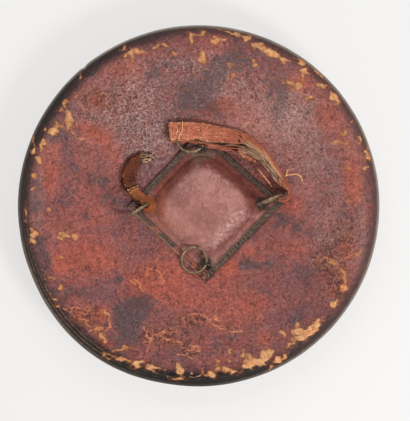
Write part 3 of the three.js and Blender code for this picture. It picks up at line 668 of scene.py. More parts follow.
def strip_finish():
    """Olive-grey leather with dark stitch slots and dark edges that are painted shade, pale ridges between
    the slots and places worn red.
    """
    f = Finish("edging_leather", Specular_IOR_Level=0.2)
    spots = f.noise(4, 4, 0.7, 0.4)
    grain = f.noise(1.3, 2, 0.6, shift=4)
    colour = f.mix(spots.step(0.42, 0.62), tint(92, 72, 64), tint(54, 41, 36))
    colour = f.mix(grain.step(0.56, 0.7) * 0.5, colour, tint(122, 102, 88))
    colour = f.mix((f.field("bare") + (spots - 0.5) * 1.4).step(0.35, 0.75), colour, tint(136, 76, 60))
    colour = f.mix(f.field("pale") * spots.step(0.3, 0.6), colour, tint(164, 146, 112))
    # Dark stitch slots, and dark strip edges painted as shade
    colour = f.mix(f.field("slot"), colour, tint(32, 24, 20))
    return f.wear(Base_Color=colour, Roughness=0.62, Normal=f.bump(spots + grain * 0.5, 0.3, 0.8))


def strap_finish(name, light, deep, flake):
    """Dry leather with streaks five times as long as wide along the strap, pale rubbed edges and crests
    painted pale as highlights, grey-tan split layers and black gaps between them, painted as shade."""
    f = Finish(name, Specular_IOR_Level=0.2)
    run = {0: f.field("across") * METRES, 1: f.field("along") * (METRES / 5), 2: f.field("layer") * 0.02}
    run = f.node("ShaderNodeCombineXYZ", None, run)
    streaks = f.noise(3, 4, 0.7, 0.6, at=run)
    blotch = f.noise(9, 4, 0.7, 0.8, shift=3)
    grain = f.noise(1.4, 2, 0.7, shift=5)
    colour = f.mix((streaks * 0.5 + blotch * 0.5).step(0.44, 0.56), light, deep)
    colour = f.mix((streaks * 0.5 + grain * 0.5).step(0.52, 0.6) * 0.8, colour, flake)
    colour = f.mix((streaks * 0.7 + blotch * 0.3).step(0.46, 0.37) * 0.85, colour, tint(84, 38, 24))
    aged = (f.field("aged") + (streaks - 0.5) * 0.9).step(0.3, 0.7)
    grey = f.mix(streaks.step(0.36, 0.6), tint(182, 150, 122), tint(112, 78, 58))
    colour = f.mix(aged, colour, grey)
    colour = f.mix((f.field("tan") + (blotch - 0.5)).step(0.3, 0.8), colour, f.mix(streaks, deep, TAN))
    colour = f.mix((f.field("pale") * (0.4 + blotch)).step(0.2, 0.8) * 0.85, colour, tint(228, 172, 126))
    # Black in the gaps, grooves, cracks and pits: painted shade
    colour = f.mix((f.field("gap") + (grain - 0.5) * 0.4).step(0.25, 0.7), colour, tint(26, 15, 11))
    relief = streaks * 1.6 + grain * 0.7
    return f.wear(Base_Color=colour, Roughness=0.55 + (grain - 0.5) * 0.3, Normal=f.bump(relief, 0.7, 1.0))


HIDE_FINISH = hide_finish()
PAD_FINISH = pad_finish()
STRIP_FINISH = strip_finish()
IRON_FINISH = plain_finish(
    "dark_iron", tint(52, 38, 28), tint(20, 14, 10), 2.5, 0.6, 0.1, wear=tint(104, 82, 62)
)
RING_FINISH = plain_finish("ring_wire", tint(150, 126, 98), tint(66, 50, 36), 3, 0.4, 0.2, depth=0.1)
GRIP_FINISH = strap_finish("strap_leather", tint(186, 104, 77), tint(134, 68, 48), tint(222, 158, 124))
STUB_FINISH = strap_finish("stub_leather", tint(92, 36, 12), tint(44, 18, 8), tint(134, 66, 28))


# The hide

# How dark the rim is, partly black lacquer and partly painted shade, how much painted olive reflection
# it has along its edge, and how split it is, at each 30 degrees from the right round over the top
RIM_SHADE = (0.28, 0.4, 0.4, 0.48, 0.85, 0.9, 0.8, 0.75, 1, 1.3, 0.85, 0.5)
RIM_PAINTED_REFLECTION = (0.7, 0.6, 0.8, 0.9, 1, 0.5, 0.4, 0.7, 0.2, 0.1, 0.4, 0.5)
RIM_PLY = (0, 0, 0, 0, 0, 0, 0.2, 1, 0.6, 0.1, 0.2, 0)
NICK_TURN = np.radians(129.5)
NICK_HALF = np.radians(0.8)
NICK_DEPTH = 1.4
RIM_DROP = 0.6
EDGE_INSET = 0.3
# The length past the crest and the radius that bound the marks and the split layers, a distance
# that stands for none near, and how far an outline of a mark is shaken
MARKED_REACH = 16
PLY_RADIUS = 216
NONE_NEAR = 30.0
SHAKEN = 1.3
HIDE_COLUMNS = 640


def rim_wave(x, y):
    """Warp of the rim: its height at the rim times the fourth power of the radius share, up twice
    and down twice in a turn."""
    turn = np.arctan2(y, x) - WAVE_TURN
    return WAVE_HEIGHT * (np.hypot(x, y) / RIM_RADIUS) ** 4 * np.cos(2 * turn)


def inner_height(x, y):
    """The dish's inner face: a sphere, plus the rim's warp."""
    return DISH_CENTRE - np.sqrt(DISH_RADIUS**2 - x**2 - y**2) + rim_wave(x, y)


def front_height(x, y):
    """The dish's front: a sphere one hide larger, plus the rim's warp."""
    return DISH_CENTRE - np.sqrt((DISH_RADIUS + HIDE) ** 2 - x**2 - y**2) + rim_wave(x, y)


def dish_profile():
    """Radius, height and length past the crest of the hide's section: the inner sphere, the crest's
    arc, the round edge, the arc under the crest and the front sphere. Each row below is a centre, a
    size, a first and a last turn and a count of places. The last turns before and after the axis
    leave a hole that the fans close."""
    bend_z = DISH_CENTRE - (DISH_RADIUS + CREST_RADIUS) * np.cos(EDGE_SLOPE)
    middle = CREST_RADIUS - HIDE / 2
    edge_r, edge_z = BEND_RADIUS + middle * np.sin(ROLL), bend_z + middle * np.cos(ROLL)
    under_pad = np.pi - 0.175
    near_axis = np.pi - 0.0045
    arcs = (
        (0, DISH_CENTRE, DISH_RADIUS, near_axis, under_pad, 13),
        (0, DISH_CENTRE, DISH_RADIUS, under_pad, np.pi - EDGE_SLOPE, 76),
        (BEND_RADIUS, bend_z, CREST_RADIUS, -EDGE_SLOPE, ROLL, 25),
        (edge_r, edge_z, HIDE / 2, ROLL, ROLL + np.pi, 9),
        (BEND_RADIUS, bend_z, CREST_RADIUS - HIDE, ROLL, -EDGE_SLOPE, 9),
        (0, DISH_CENTRE, DISH_RADIUS + HIDE, np.pi - EDGE_SLOPE, near_axis, 20),
    )
    radius, height = [], []
    for centre_r, centre_z, size, start, end, count in arcs:
        turn = np.linspace(start, end, count)[(1 if radius else 0) :]
        radius.append(centre_r + size * np.sin(turn))
        height.append(centre_z + size * np.cos(turn))
    radius, height = np.concatenate(radius), np.concatenate(height)
    length = np.concatenate([[0], np.cumsum(np.hypot(np.diff(radius), np.diff(height)))])
    crest = DISH_RADIUS * EDGE_SLOPE + CREST_RADIUS * EDGE_SLOPE
    return radius, height, length - crest


def blobs(x, y, marks):
    """Sum of soft round stains: each strength times the bell curve of the distance over its size."""
    total = np.zeros_like(x)
    for mark_x, mark_y, wide, high, strength in marks:
        total += strength * np.exp(-(((x - mark_x) / wide) ** 2) - ((y - mark_y) / high) ** 2)
    return total


def nearest_patch(x, y, patches):
    """Distance in mm to the nearest worn patch, negative inside: each patch is an oval, and the
    distance is its scaled radius less one, times its half width."""
    nearest = np.full_like(x, NONE_NEAR)
    for patch_x, patch_y, half_long, half_wide, turn in patches:
        turn = np.radians(turn)
        across, along = x - patch_x, y - patch_y
        u = (across * np.cos(turn) + along * np.sin(turn)) / half_long
        v = (along * np.cos(turn) - across * np.sin(turn)) / half_wide
        nearest = np.minimum(nearest, (np.hypot(u, v) - 1) * half_wide)
    return nearest


def nearest_vein(x, y, veins):
    """Signed and plain distance to the nearest of the polylines, whose left side is positive."""
    signed, plain = np.full_like(x, NONE_NEAR), np.full_like(x, NONE_NEAR)
    for vein in veins:
        points = np.array(vein, float)
        for (ax, ay), (bx, by) in zip(points[:-1], points[1:]):
            length = np.hypot(bx - ax, by - ay)
            ux, uy = (bx - ax) / length, (by - ay) / length
            along = np.clip((x - ax) * ux + (y - ay) * uy, 0, length)
            gap = np.hypot(x - ax - along * ux, y - ay - along * uy)
            side = (y - ay) * ux - (x - ax) * uy
            closer = gap < plain
            signed, plain = np.where(closer, side, signed), np.where(closer, gap, plain)
    return signed, plain


def turned_dish(radius, height, turn):
    """The profile turned round the axis, with its edge opened up and out over one stretch, a nick
    in it, and the rim's warp added to its height."""
    away = np.abs((turn - FLARE_TURN + np.pi) % (2 * np.pi) - np.pi) / FLARE_HALF
    window = np.where(away < 1, 0.5 + 0.5 * np.cos(np.pi * np.minimum(away, 1)), 0)
    reach = FLARE_REACH * window[None] * smooth(radius, BEND_RADIUS, RIM_RADIUS)[:, None]
    nick = NICK_DEPTH * bell(turn - NICK_TURN, NICK_HALF) * smooth(radius, 222, 229)[:, None]
    out = radius[:, None] + reach - nick
    warp = rim_wave(radius[:, None] * np.cos(turn), radius[:, None] * np.sin(turn))
    return np.stack([out * np.cos(turn), out * np.sin(turn), height[:, None] + reach + warp], -1)


def hand_made(points, radius):
    """The same grid with its rim let down, a slow and a quick unevenness laid on along its normals,
    less so at the middle and the edge, and the edge drawn in."""
    edge = smooth(radius, 216, 228)
    points = points.copy()
    points[..., 2] -= RIM_DROP * smooth(radius, 190, 212)[:, None]
    uneven = 0.3 * lumps(points, 70, 1) + 0.12 * lumps(points, 22, 2)
    uneven = uneven * (smooth(radius, 20, 60) * (1 - 0.7 * edge))[:, None] - EDGE_INSET * edge[:, None]
    return points + outward(points) * uneven[..., None]


def rim_looks(turn, looks):
    """What the rim has at each turn, in straight lines between the values given every 30 degrees."""
    return np.interp(np.degrees(turn) / 30, np.arange(len(looks) + 1), (*looks, looks[0]))


def hide_fields(x, y, past, turn):
    """Where the hide is marked: distances to worn patches and veins with shaken outlines, the soft
    marks, and how the rim looks on that side."""
    plan = np.stack([x, y], -1)
    shaken_x, shaken_y = x + SHAKEN * lumps(plan, 11, 5), y + SHAKEN * lumps(plan, 11, 6)
    signed, plain = nearest_vein(shaken_x, shaken_y, VEINS)
    inside = past < MARKED_REACH
    return dict(
        past=past,
        rim_shade=rim_looks(turn, RIM_SHADE),
        rim_painted_reflection=rim_looks(turn, RIM_PAINTED_REFLECTION),
        ply=rim_looks(turn, RIM_PLY) * (np.hypot(x, y) > PLY_RADIUS),
        pebbled_glints=blobs(x, y, PEBBLED_GLINTS),
        sheen=blobs(x, y, SHEEN),
        wear=np.where(inside, nearest_patch(shaken_x, shaken_y, WORN), NONE_NEAR),
        vein=signed,
        vein_reach=np.where(inside, plain, NONE_NEAR),
        # Stains, with a painted shadow beside the stub and a painted grey sheen near the top
        dark=blobs(x, y, STAINS_SHADOW_AND_SHEEN),
        warm=blobs(x, y, WARMTH),
        crackle=np.where(inside, blobs(x, y, CRACKED), 0),
    )


def shield_hide():
    """The hide: the dish's section turned round the axis, made uneven by hand, with its marks."""
    radius, height, past = dish_profile()
    turn = np.linspace(0, 2 * np.pi, HIDE_COLUMNS, endpoint=False)
    even = turned_dish(radius, height, turn)
    past, turn = (values.ravel() for values in np.broadcast_arrays(past[:, None], turn))
    fields = hide_fields(even[..., 0].ravel(), even[..., 1].ravel(), past, turn)
    body = tube(hand_made(even, radius))
    return piece("shield_hide", body, HIDE_FINISH, "hide", "shield_body", fields=fields)


# The knuckle pad

# How dark the gutter is, partly red leather and partly painted shade, and how far it spreads over the
# flange as a share of the pad's half, along the upper right, upper left, lower left and lower right sides
GUTTER_DEPTH = (1, 1, 0.3, 0.6)
GUTTER_SPREAD = (0.5, 0.22, 0.12, 0.09)
PAD_TAN = [
    (-54, -4, 14, 16, 0.75), (-40, -26, 18, 9, 0.7), (-48, 18, 8, 20, 0.6), (-33, 36, 8, 14, 0.4),
    (62, -28, 9, 18, 0.35), (8, 78, 8, 8, 0.4), (60, 22, 8, 12, 0.4),
]
# Greyer places at the pad's top corner, under the strap
PAD_GREY_CORNER = [(-2, 64, 14, 11, 1), (16, 68, 12, 8, 0.8)]
GUTTER_REACH = 0.95
PAD_STEPS = 171


def inset(i, x, y):
    """How far inside the pad's side i a place is."""
    a, b = PAD_CORNERS[i], PAD_CORNERS[(i + 1) % 4]
    ux, uy = unit(b - a)
    return ux * (y - a[1]) - uy * (x - a[0])


def inset_corner(i, distance):
    """Where two sides meet once each has moved inward by the distance."""
    before, here, after = PAD_CORNERS[i - 1], PAD_CORNERS[i], PAD_CORNERS[(i + 1) % 4]
    a, b = unit(here - before), unit(after - here)
    sine = a[0] * b[1] - a[1] * b[0]
    return here + (b - a) * distance / sine


def pad_shares(x, y):
    """A place on the pad as two shares from -1 to 1: towards its lower left and lower right sides."""
    insets = [inset(i, x, y) for i in range(4)]
    across = (insets[0] - insets[2]) / (insets[0] + insets[2])
    along = (insets[1] - insets[3]) / (insets[1] + insets[3])
    return across, along


def pillow_reach(x, y):
    """The rounded-square distance from the pad's middle as a share of the pillow's own reach."""
    across, along = pad_shares(x, y)
    return (np.abs(across) ** 3.6 + np.abs(along) ** 3.6) ** (1 / 3.6) / PILLOW_SHARE


def pillow_rise(x, y):
    """The pillow's height over its flange: its full height times (1 - q^2.4)^0.8, where q is its
    reach."""
    return PILLOW_HEIGHT * (1 - np.minimum(pillow_reach(x, y), 1) ** 2.4) ** 0.8


def flange_top(x, y):
    """The top of the pad's flange: its own thickness and a gap over the dish's inner face."""
    return inner_height(x, y) + GAP + FLANGE


def pad_fields(x, y):
    """The pad's marks: a dark gutter round the pillow, partly red leather and partly painted shade, as a
    bell curve of the reach, by the depth and spread of the nearest sides, the bare flange, soft marks of tan
    and of grey at the top corner, and painted shade round the eyes."""
    across, along = pad_shares(x, y)
    reach = pillow_reach(x, y)
    sides = np.stack([np.maximum(share, 0) ** 4 for share in (-across, -along, across, along)])
    sides /= sides.sum(0) + 1e-6
    depth, spread = (np.tensordot(values, sides, 1) for values in (GUTTER_DEPTH, GUTTER_SPREAD))
    width = np.where(reach < GUTTER_REACH, 0.2, spread + 0.02)
    return dict(
        gutter_red_and_shade=bell(reach - GUTTER_REACH, width) * depth,
        flange=smooth(reach, GUTTER_REACH, 1.05) * (1 - 0.5 * sides[3]),
        tan=blobs(x, y, PAD_TAN),
        grey_corner=blobs(x, y, PAD_GREY_CORNER),
        # Painted shade round each eye
        eye_shade=blobs(x, y, [(*EYES[side][:2], 11, 10, 1.2) for side in SIDES]),
    )


def knuckle_pad():
    """The pad: a square sheet between its four corners, its top raised by the pillow, its foot on
    the hide."""
    share = np.linspace(0, 1, PAD_STEPS)
    i, j = np.meshgrid(share, share, indexing="ij")
    low = PAD_CORNERS[0] + (PAD_CORNERS[1] - PAD_CORNERS[0]) * i[..., None]
    high = PAD_CORNERS[3] + (PAD_CORNERS[2] - PAD_CORNERS[3]) * i[..., None]
    plan = low + (high - low) * j[..., None]
    x, y = plan[..., 0], plan[..., 1]
    rise = pillow_rise(x, y)
    top = flange_top(x, y) + rise + 0.25 * lumps(plan, 26, 11) * smooth(rise, 0, 6)
    bottom = inner_height(x, y) + GAP
    body = slab(np.dstack([x, y, top]), np.dstack([x, y, bottom]))
    fields = {name: np.tile(values.ravel(), 2) for name, values in pad_fields(x, y).items()}
    made = piece("stuffed_knuckle_pad", body, PAD_FINISH, "pad_leather", "knuckle_pad", fields=fields)
    return made


# The strips sewn over the pad's sides: the length of a stitch, the gap at a mitre, and the torn
# ends round the bottom corner, as a place from the corner and a turn in degrees
STITCH = 5.2
MITRE_GAP = 0.25
FRAYS = [(-3, 9, 200), (2, 13, 60), (-6, 13, 150), (4, 8, 350), (0, 5, 260), (-1, 16, 100)]


def beat(along, slant=0.0):
    """How far a place is from the middle between two stitches: 0 there and 0.5 at a stitch."""
    return np.abs((along / STITCH + slant) % 1 - 0.5)


def flecked(along, v):
    """Random dark flecks, a faint row of stitches, and dark edges that are painted shade. Like the next
    two, it gives dark slots, pale marks and bare red by the length along a strip and the share v across it."""
    fleck = smooth(lumps(np.stack([along, v * STRIP_WIDTH], -1), 3, 15), 0.9, 1.5)
    faint = smooth(beat(along), 0.2, 0.1) * smooth(np.abs(v - 0.6), 0.16, 0.08)
    edges = smooth(v, 0.14, 0.04) + smooth(v, 0.9, 0.98) * 0.5
    return np.clip(0.6 * fleck + 0.45 * faint + 0.7 * edges, 0, 1), 0 * v, 0 * v


def rubbed(along, v):
    """Worn red between grey patches, with a pale outer edge, a few stitch holes and a dark inner edge
    that is painted shade.
    """
    grey = blobs(along, v, [(14, 0.4, 9, 0.8, 1.2), (33, 0.5, 6, 0.9, 1.1), (66, 0.5, 12, 0.9, 1.0)])
    worn = lumps(np.stack([along, v * STRIP_WIDTH], -1), 12, 16)
    bare = np.clip(0.75 + 0.3 * worn - grey, 0, 1)
    hole = smooth(beat(along), 0.16, 0.08) * smooth(np.abs(v - 0.55), 0.16, 0.06)
    slot = hole * smooth(along, 48, 56) + smooth(v, 0.9, 0.98) * 0.7
    return np.clip(slot, 0, 1), smooth(np.abs(v - 0.08), 0.1, 0.03) * 0.6, bare


def plaited(along, v):
    """Slanted dark slots with pale ridges between them on the inner half, a pale inner line, a dark line
    beside it and a dark outer edge that is painted shade.
    """
    slanted = beat(along, 0.45 * v + 0.16 * ripple(along, 11, 17))
    row = smooth(np.abs(v - 0.62), 0.2, 0.12)
    flaw = np.clip(0.75 + 0.3 * lumps(np.stack([along, v * STRIP_WIDTH], -1), 7, 18), 0.15, 1)
    slot = 0.85 * smooth(slanted, 0.22, 0.12) * row * flaw
    pale = 0.45 * smooth(slanted, 0.3, 0.42) * row + smooth(np.abs(v - 0.93), 0.06, 0.02) * 0.6
    line = smooth(np.abs(v - 0.84), 0.05, 0.02) * 0.6 + smooth(v, 0.12, 0.03)
    return np.clip(slot + line, 0, 1), np.clip(pale, 0, 1), 0 * v


def frayed_ends():
    """Dark torn ends round the bottom corner of the edging."""
    ends = []
    for k, (dx, dy, turn) in enumerate(FRAYS):
        x, y = PAD_CORNERS[3] + np.array([dx, dy])
        way = np.array([np.cos(np.radians(turn)), np.sin(np.radians(turn))])
        line = [(x + way[0] * at, y + way[1] * at) for at in (0, 2.5, 5, 7)]
        bend = [(px, py, flange_top(px, py) + GAP + up) for (px, py), up in zip(line, (1, 2.6, 2.4, 0.6))]
        ends.append(shred(bend, 2.6, 1.0, 24, 80 + k))
    return ends


STRIP_WEAR = (flecked, flecked, rubbed, plaited)


def edging(i, name):
    """One strip: a low rounded section carried along the pad's side between two mitres. Its width
    and height follow a cosine and a sine swelled to a flat-topped form."""
    share = np.linspace(0, 1, 280)[:, None]
    section = np.linspace(0, 2 * np.pi, 28, endpoint=False)
    across = 0.5 + 0.5 * boxy(np.cos(section), 0.6)
    up = 0.5 + 0.5 * boxy(np.sin(section), 0.7)
    outer, inner = (inset_corner(i, d) for d in (0, STRIP_WIDTH))
    next_outer, next_inner = (inset_corner((i + 1) % 4, d) for d in (0, STRIP_WIDTH))
    way = unit(next_outer - outer)
    start = outer + (inner - outer) * across[:, None] + way * MITRE_GAP
    end = next_outer + (next_inner - next_outer) * across[:, None] - way * MITRE_GAP
    plan = start[None] + (end - start)[None] * share[..., None]
    x, y = plan[..., 0], plan[..., 1]
    along = share * np.linalg.norm(next_outer - outer) + 0 * across
    slot, pale, bare = STRIP_WEAR[i](along, across + 0 * share)
    z = flange_top(x, y) + GAP + STRIP_THICKNESS * up * (1 - 0.35 * slot + 0.1 * pale)
    fields = dict(slot=slot, pale=pale, bare=bare)
    body = tube(np.dstack([x, y, z]))
    rest = {}
    if i == 3:
        body = joined(body, *frayed_ends())
        rest = dict(slot=0.4)
    return piece(name, body, STRIP_FINISH, "edging", f"pad_{name}", fields=fields, rest=rest)


# Iron: eyes, washers, rings and bosses

EYE_RADIUS = 5.5
EYE_WIRE_RADIUS = 1.5
SHANK_RADIUS = 2.0
SHANK_SINK = 5
WASHER_RADIUS = 7.25
WASHER_HOLE_RADIUS = 3.0
WASHER_HALF = 0.7
LOBE_DEPTH = 1.5
BOSS_RADIUS = 24
BOSS_TIP_RADIUS = 6
# A ring that rolls less than this lies flat, 2 mm under the middle of its eye; the others stand
# with 0.5 mm of play
FLAT_ROLL = 45
FLAT_RING_DROP = 2.0
RING_PLAY = 0.5


def lies_flat(side):
    """Whether a ring has fallen flat, rather than standing up in its eye."""
    return RING_ROLL[side] < FLAT_ROLL


def ring_reach(side):
    """The radius of the middle of a ring's wire."""
    return (RING_DIAMETER[side] - RING_WIRE) / 2


def ring_frame(side):
    """The centre of a ring and its two in-plane axes: out from the eye along its heading and rise,
    and across, rolled about the first."""
    heading, rise, roll = (np.radians(v[side]) for v in (RING_HEADING, RING_RISE, RING_ROLL))
    level = np.array([np.cos(heading), np.sin(heading), 0])
    up = np.array([0, 0, 1.0])
    out = level * np.cos(rise) + up * np.sin(rise)
    crosswise = np.cross(up, level)
    overhead = np.cross(out, crosswise)
    along = crosswise * np.cos(roll) + overhead * np.sin(roll)
    centre = np.array(EYES[side]) + out * (ring_reach(side) - (0 if lies_flat(side) else RING_PLAY))
    centre[2] -= FLAT_RING_DROP if lies_flat(side) else 0
    return centre, out, along


def ring_path(side, count=96):
    """The middle of a ring's wire, as a circle on its two axes, and the ring's own direction."""
    centre, out, along = ring_frame(side)
    turn = np.linspace(0, 2 * np.pi, count, endpoint=False)[:, None]
    return centre + ring_reach(side) * (out * np.cos(turn) + along * np.sin(turn)), np.cross(out, along)


def wire_ring(side, seed):
    """A loose ring: a round wire along its circle, thicker and thinner by a twentieth."""
    path, normal = ring_path(side)
    swell = (RING_WIRE + RING_RUST) / 2 * (1 + 0.05 * ripple(np.linspace(0, 110, len(path)), 12, seed))
    body = tube(rope(path, swell, normal, 14, True), True)
    return piece(f"iron_ring_{side}", body, RING_FINISH, "ring_wire", f"wire_ring_{side}")


def ring_eye(side):
    """An eye: a round wire along an upright circle, on a straight shank down to its boss."""
    eye = np.array(EYES[side])
    heading = np.radians(RING_HEADING[side] + (0 if lies_flat(side) else 90))
    way = np.array([np.cos(heading), np.sin(heading), 0])
    up = np.array([0, 0, 1.0])
    turn = np.linspace(0, 2 * np.pi, 48, endpoint=False)[:, None]
    loop = eye + EYE_RADIUS * (way * np.cos(turn) + up * np.sin(turn))
    low = front_height(eye[0], eye[1]) - SHANK_SINK
    shank = np.linspace([eye[0], eye[1], low], [eye[0], eye[1], eye[2] - EYE_RADIUS], 12)
    body = joined(
        tube(rope(loop, EYE_WIRE_RADIUS, np.cross(way, up), 12, True), True),
        tube(rope(shank, SHANK_RADIUS, [1.0, 0, 0], 14)),
    )
    return piece(f"eye_loop_{side}", body, IRON_FINISH, "iron", f"ring_eye_{side}")


def washer(side):
    """A washer laid on the flange: a flat-topped section between its hole and its edge, whose
    radius swings by the cosine of six times the turn."""
    eye = np.array(EYES[side])
    turn = np.linspace(0, 2 * np.pi, 72, endpoint=False)
    edge = WASHER_RADIUS - LOBE_DEPTH * (0.5 - 0.5 * np.cos(6 * turn))
    section = np.linspace(0, 2 * np.pi, 16, endpoint=False)[:, None]
    radius = WASHER_HOLE_RADIUS + (edge - WASHER_HOLE_RADIUS) * (0.5 + 0.5 * np.cos(section))
    lift = WASHER_HALF * (1 + boxy(np.sin(section), 0.6))
    x, y = eye[0] + radius * np.cos(turn), eye[1] + radius * np.sin(turn)
    points = np.dstack([x, y, flange_top(x, y) + GAP + lift])
    return piece(f"lobed_washer_{side}", tube(points, True), IRON_FINISH, "iron", f"eye_washer_{side}")


def front_boss(side):
    """A low dome whose flat tip touches the ground: its height rises with the square of the share
    of the way out from the tip, up to a seat that follows the hide's front."""
    eye = np.array(EYES[side])
    share = np.linspace(0, 1, 24)[1:]
    tip = np.linspace(0.4, BOSS_TIP_RADIUS, 6)
    side_radius = BOSS_TIP_RADIUS + (BOSS_RADIUS - BOSS_TIP_RADIUS) * share
    seat = BOSS_RADIUS * np.linspace(1, 0.02, 12)[1:]
    radius = np.concatenate([tip, side_radius, seat])[:, None]
    height = np.concatenate([0 * tip, 0.86 * share**2, np.ones(len(seat))])[:, None]
    turn = np.linspace(0, 2 * np.pi, 64, endpoint=False)
    x, y = eye[0] + radius * np.cos(turn), eye[1] + radius * np.sin(turn)
    points = np.dstack([x, y, height * (front_height(x, y) - GAP)])
    return piece(f"domed_boss_{side}", tube(points), IRON_FINISH, "iron", f"boss_{side}")


# Straps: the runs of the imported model, with their layers, cracks and threads. Each station has the
# ring that it is placed from, how far it is to the right of and above that ring's middle, its lift
# over the dish, its tilt in degrees, its width and thickness, and how far its layers splay

GRIP_RUN = [
    ("top", -28.5, 7.5, 11.2, 0, 20.5, 6, 1),
    ("top", -25, 7.8, 12.8, 0, 22.5, 9, 2),
    ("top", -13.7, 8.4, 13.4, 0, 22.5, 10, 3),
    ("top", 5.7, 8.2, 14.4, 3, 22.5, 10, 4),
    ("top", 27.7, 5.4, 15.4, 15, 22.5, 9.5, 5),
    ("top", 48.4, 2.5, 16, 32, 22.5, 9, 7),
    ("right", -33.3, 79.5, 17.4, 46, 22.5, 9, 9),
    ("right", -18.5, 70.4, 18.6, 57, 22.5, 9, 6),
    ("right", -5.1, 59.3, 19.7, 62, 22.5, 8.5, 2),
    ("right", 3.9, 47.1, 20, 66, 22.5, 8.2, 1),
    ("right", 12, 35.5, 18.9, 68, 22.5, 8, 1),
    ("right", 19.8, 23.9, 17.4, 72, 21.5, 7, 0.5),
    ("right", 26.5, 14.9, 16, 76, 20.5, 3.2, 0.2),
    ("right", 27.9, 6.6, 15.5, 80, 19.5, 3, 0.2),
    ("right", 23.3, -0.3, 17.1, 82, 18.5, 3, 0.2),
    ("right", 16.9, -2.4, 19, 82, 17.5, 3, 0.2),
    ("right", 11.1, -1.5, 19.5, 80, 16.5, 2.6, 0.2),
]
STUB_RUN = [
    ("left", 22.4, 69.4, 6.5, 5, 5, 3, 0.5),
    ("left", 12.1, 68.1, 7, 8, 11, 5, 1),
    ("left", 0.4, 64.1, 7.6, 10, 15, 5.5, 1.5),
    ("left", -6.7, 55, 8.5, 12, 17, 5.5, 1.5),
    ("left", -9.2, 44, 9.6, 14, 17.5, 5.5, 1.5),
    ("left", -6.4, 32.2, 13.8, 15, 16, 5.5, 1),
    ("left", 1, 21.8, 21.4, 18, 11, 6.5, 0.5),
    ("left", 8.9, 17.2, 26.1, 40, 13, 4.5, 0.5),
    ("left", 17.3, 14, 28.7, 58, 16, 3.6, 0.3),
    ("left", 23.1, 7.6, 29.1, 64, 17, 3.4, 0.3),
    ("left", 18.6, 0.5, 27.9, 66, 16, 3.4, 0.3),
    ("left", 10.2, -0.8, 25.9, 66, 13, 3, 0.3),
]
# Lengths along the grip to its folds, its crack, a pit in its cover and the end of its split, and
# along the stub to its tie
FOLDS_AT = (4, 12, 16)
CRACK_AT = 95
PIT_AT = 42
SPLIT_END = 178
TIE_AT = 62


def band_frame(run, count):
    """Along a strap's run: its face's middle, the directions out of its face and across it, its
    width, thickness and splay, and the length so far."""
    centres = []
    for side, x, y, lift, *_ in run:
        centre, _, _ = ring_frame(side)
        px, py = centre[0] + x, centre[1] + y
        centres.append([px, py, inner_height(px, py) + lift])
    share = np.linspace(0, 1, count)
    middle = spline(centres, share)
    step = 1e-4
    ahead, behind = spline(centres, np.minimum(share + step, 1)), spline(centres, np.maximum(share - step, 0))
    way = unit(ahead - behind)
    at = share * (len(run) - 1)
    tilt, width, thick, splay = (
        np.interp(at, np.arange(len(run)), [station[k] for station in run])[:, None] for k in (4, 5, 6, 7)
    )
    tilt = np.radians(tilt)
    left = unit(np.cross([0, 0, 1.0], way))
    up = np.cross(way, left)
    face = up * np.cos(tilt) + left * np.sin(tilt)
    across = left * np.cos(tilt) - up * np.sin(tilt)
    length = np.concatenate([[0], np.cumsum(np.linalg.norm(np.diff(middle, axis=0), axis=1))])
    return middle, face, across, width, thick, splay, length


def band_section(layers):
    """A strap's section, from its outer edge over its crowned cover and down the noses of its
    layers to its back. Each place has its share of the width and of the splay, its distance
    sideways, its share of the thickness, its lift, its layer and how deep in a groove it is."""
    places = [(q / 2, 0, 0, 0, -0.9 * abs(q) ** 6, 0, 0) for q in np.linspace(1, -1, 44)]
    nose = ((0.1, 0.1, 0.5), (0.35, 0.6, 0), (0.65, 0.6, 0), (0.9, 0.1, 0.5), (1, -1.3, 1))
    for layer in range(layers):
        out = -layer / max(layers - 1, 1)
        places += [(-0.5, out, -reach, -(layer + v) / layers, 0, layer + 1, deep) for v, reach, deep in nose]
    back = layers + 1
    places += [(q / 2, -(1 - q) / 2, -1.0 * (q == 1), -1, 0, back, 0) for q in np.linspace(-0.8, 1, 6)]
    places += [(0.5, 0, -1.2 * v, -v, 0, back, 0.3) for v in (0.75, 0.5, 0.25)]
    return np.array(places).T


def layered_band(run, layers, count, seed, broken, ragged=0.12):
    """A strap's section carried along its run, each layer waving by itself. The given function
    lowers its cracks and gaps and tells where they are, and where it is pale, aged or tan."""
    middle, face, across, width, thick, splay, length = band_frame(run, count)
    by_width, by_splay, sideways, by_thick, lift, layer, deep = band_section(layers)
    a = by_width * width + by_splay * splay + sideways
    n = by_thick * thick + lift
    for k in range(layers + 1):
        here = layer == k
        wave = 0.6 * ripple(length, 28, seed + k) + ragged * ripple(length, 7, seed + 9 + k)
        a[:, here] += wave[:, None] * (1.0 if k else 5 * by_width[here] ** 4)
    along = np.broadcast_to(length[:, None], a.shape)
    layer = np.broadcast_to(layer, a.shape)
    share = np.broadcast_to(by_width * 2, a.shape)
    wear = broken(along, a, share, layer)
    n = n - wear.pop("lowered")
    points = middle[:, None] + a[..., None] * across[:, None] + n[..., None] * face[:, None]
    open_here = 0.7 + 0.5 * lumps(np.stack([along / 24, layer], -1), 2, seed + 20)
    # The grooves between the layers are painted dark as shade
    wear["gap"] = np.clip(wear["gap"] + deep * open_here, 0, 1)
    return points, dict(across=a, along=along, layer=layer, **wear)


def on_band(run, spots):
    """Places on a strap, each given by its length along the run, its distance across and its lift."""
    middle, face, across, *_, length = band_frame(run, 400)
    along, sideways, lift = np.array(spots, float).T
    middle, face, across = (
        np.stack([np.interp(along, length, values[:, k]) for k in range(3)], -1)
        for values in (middle, face, across)
    )
    return middle + sideways[:, None] * across + lift[:, None] * face


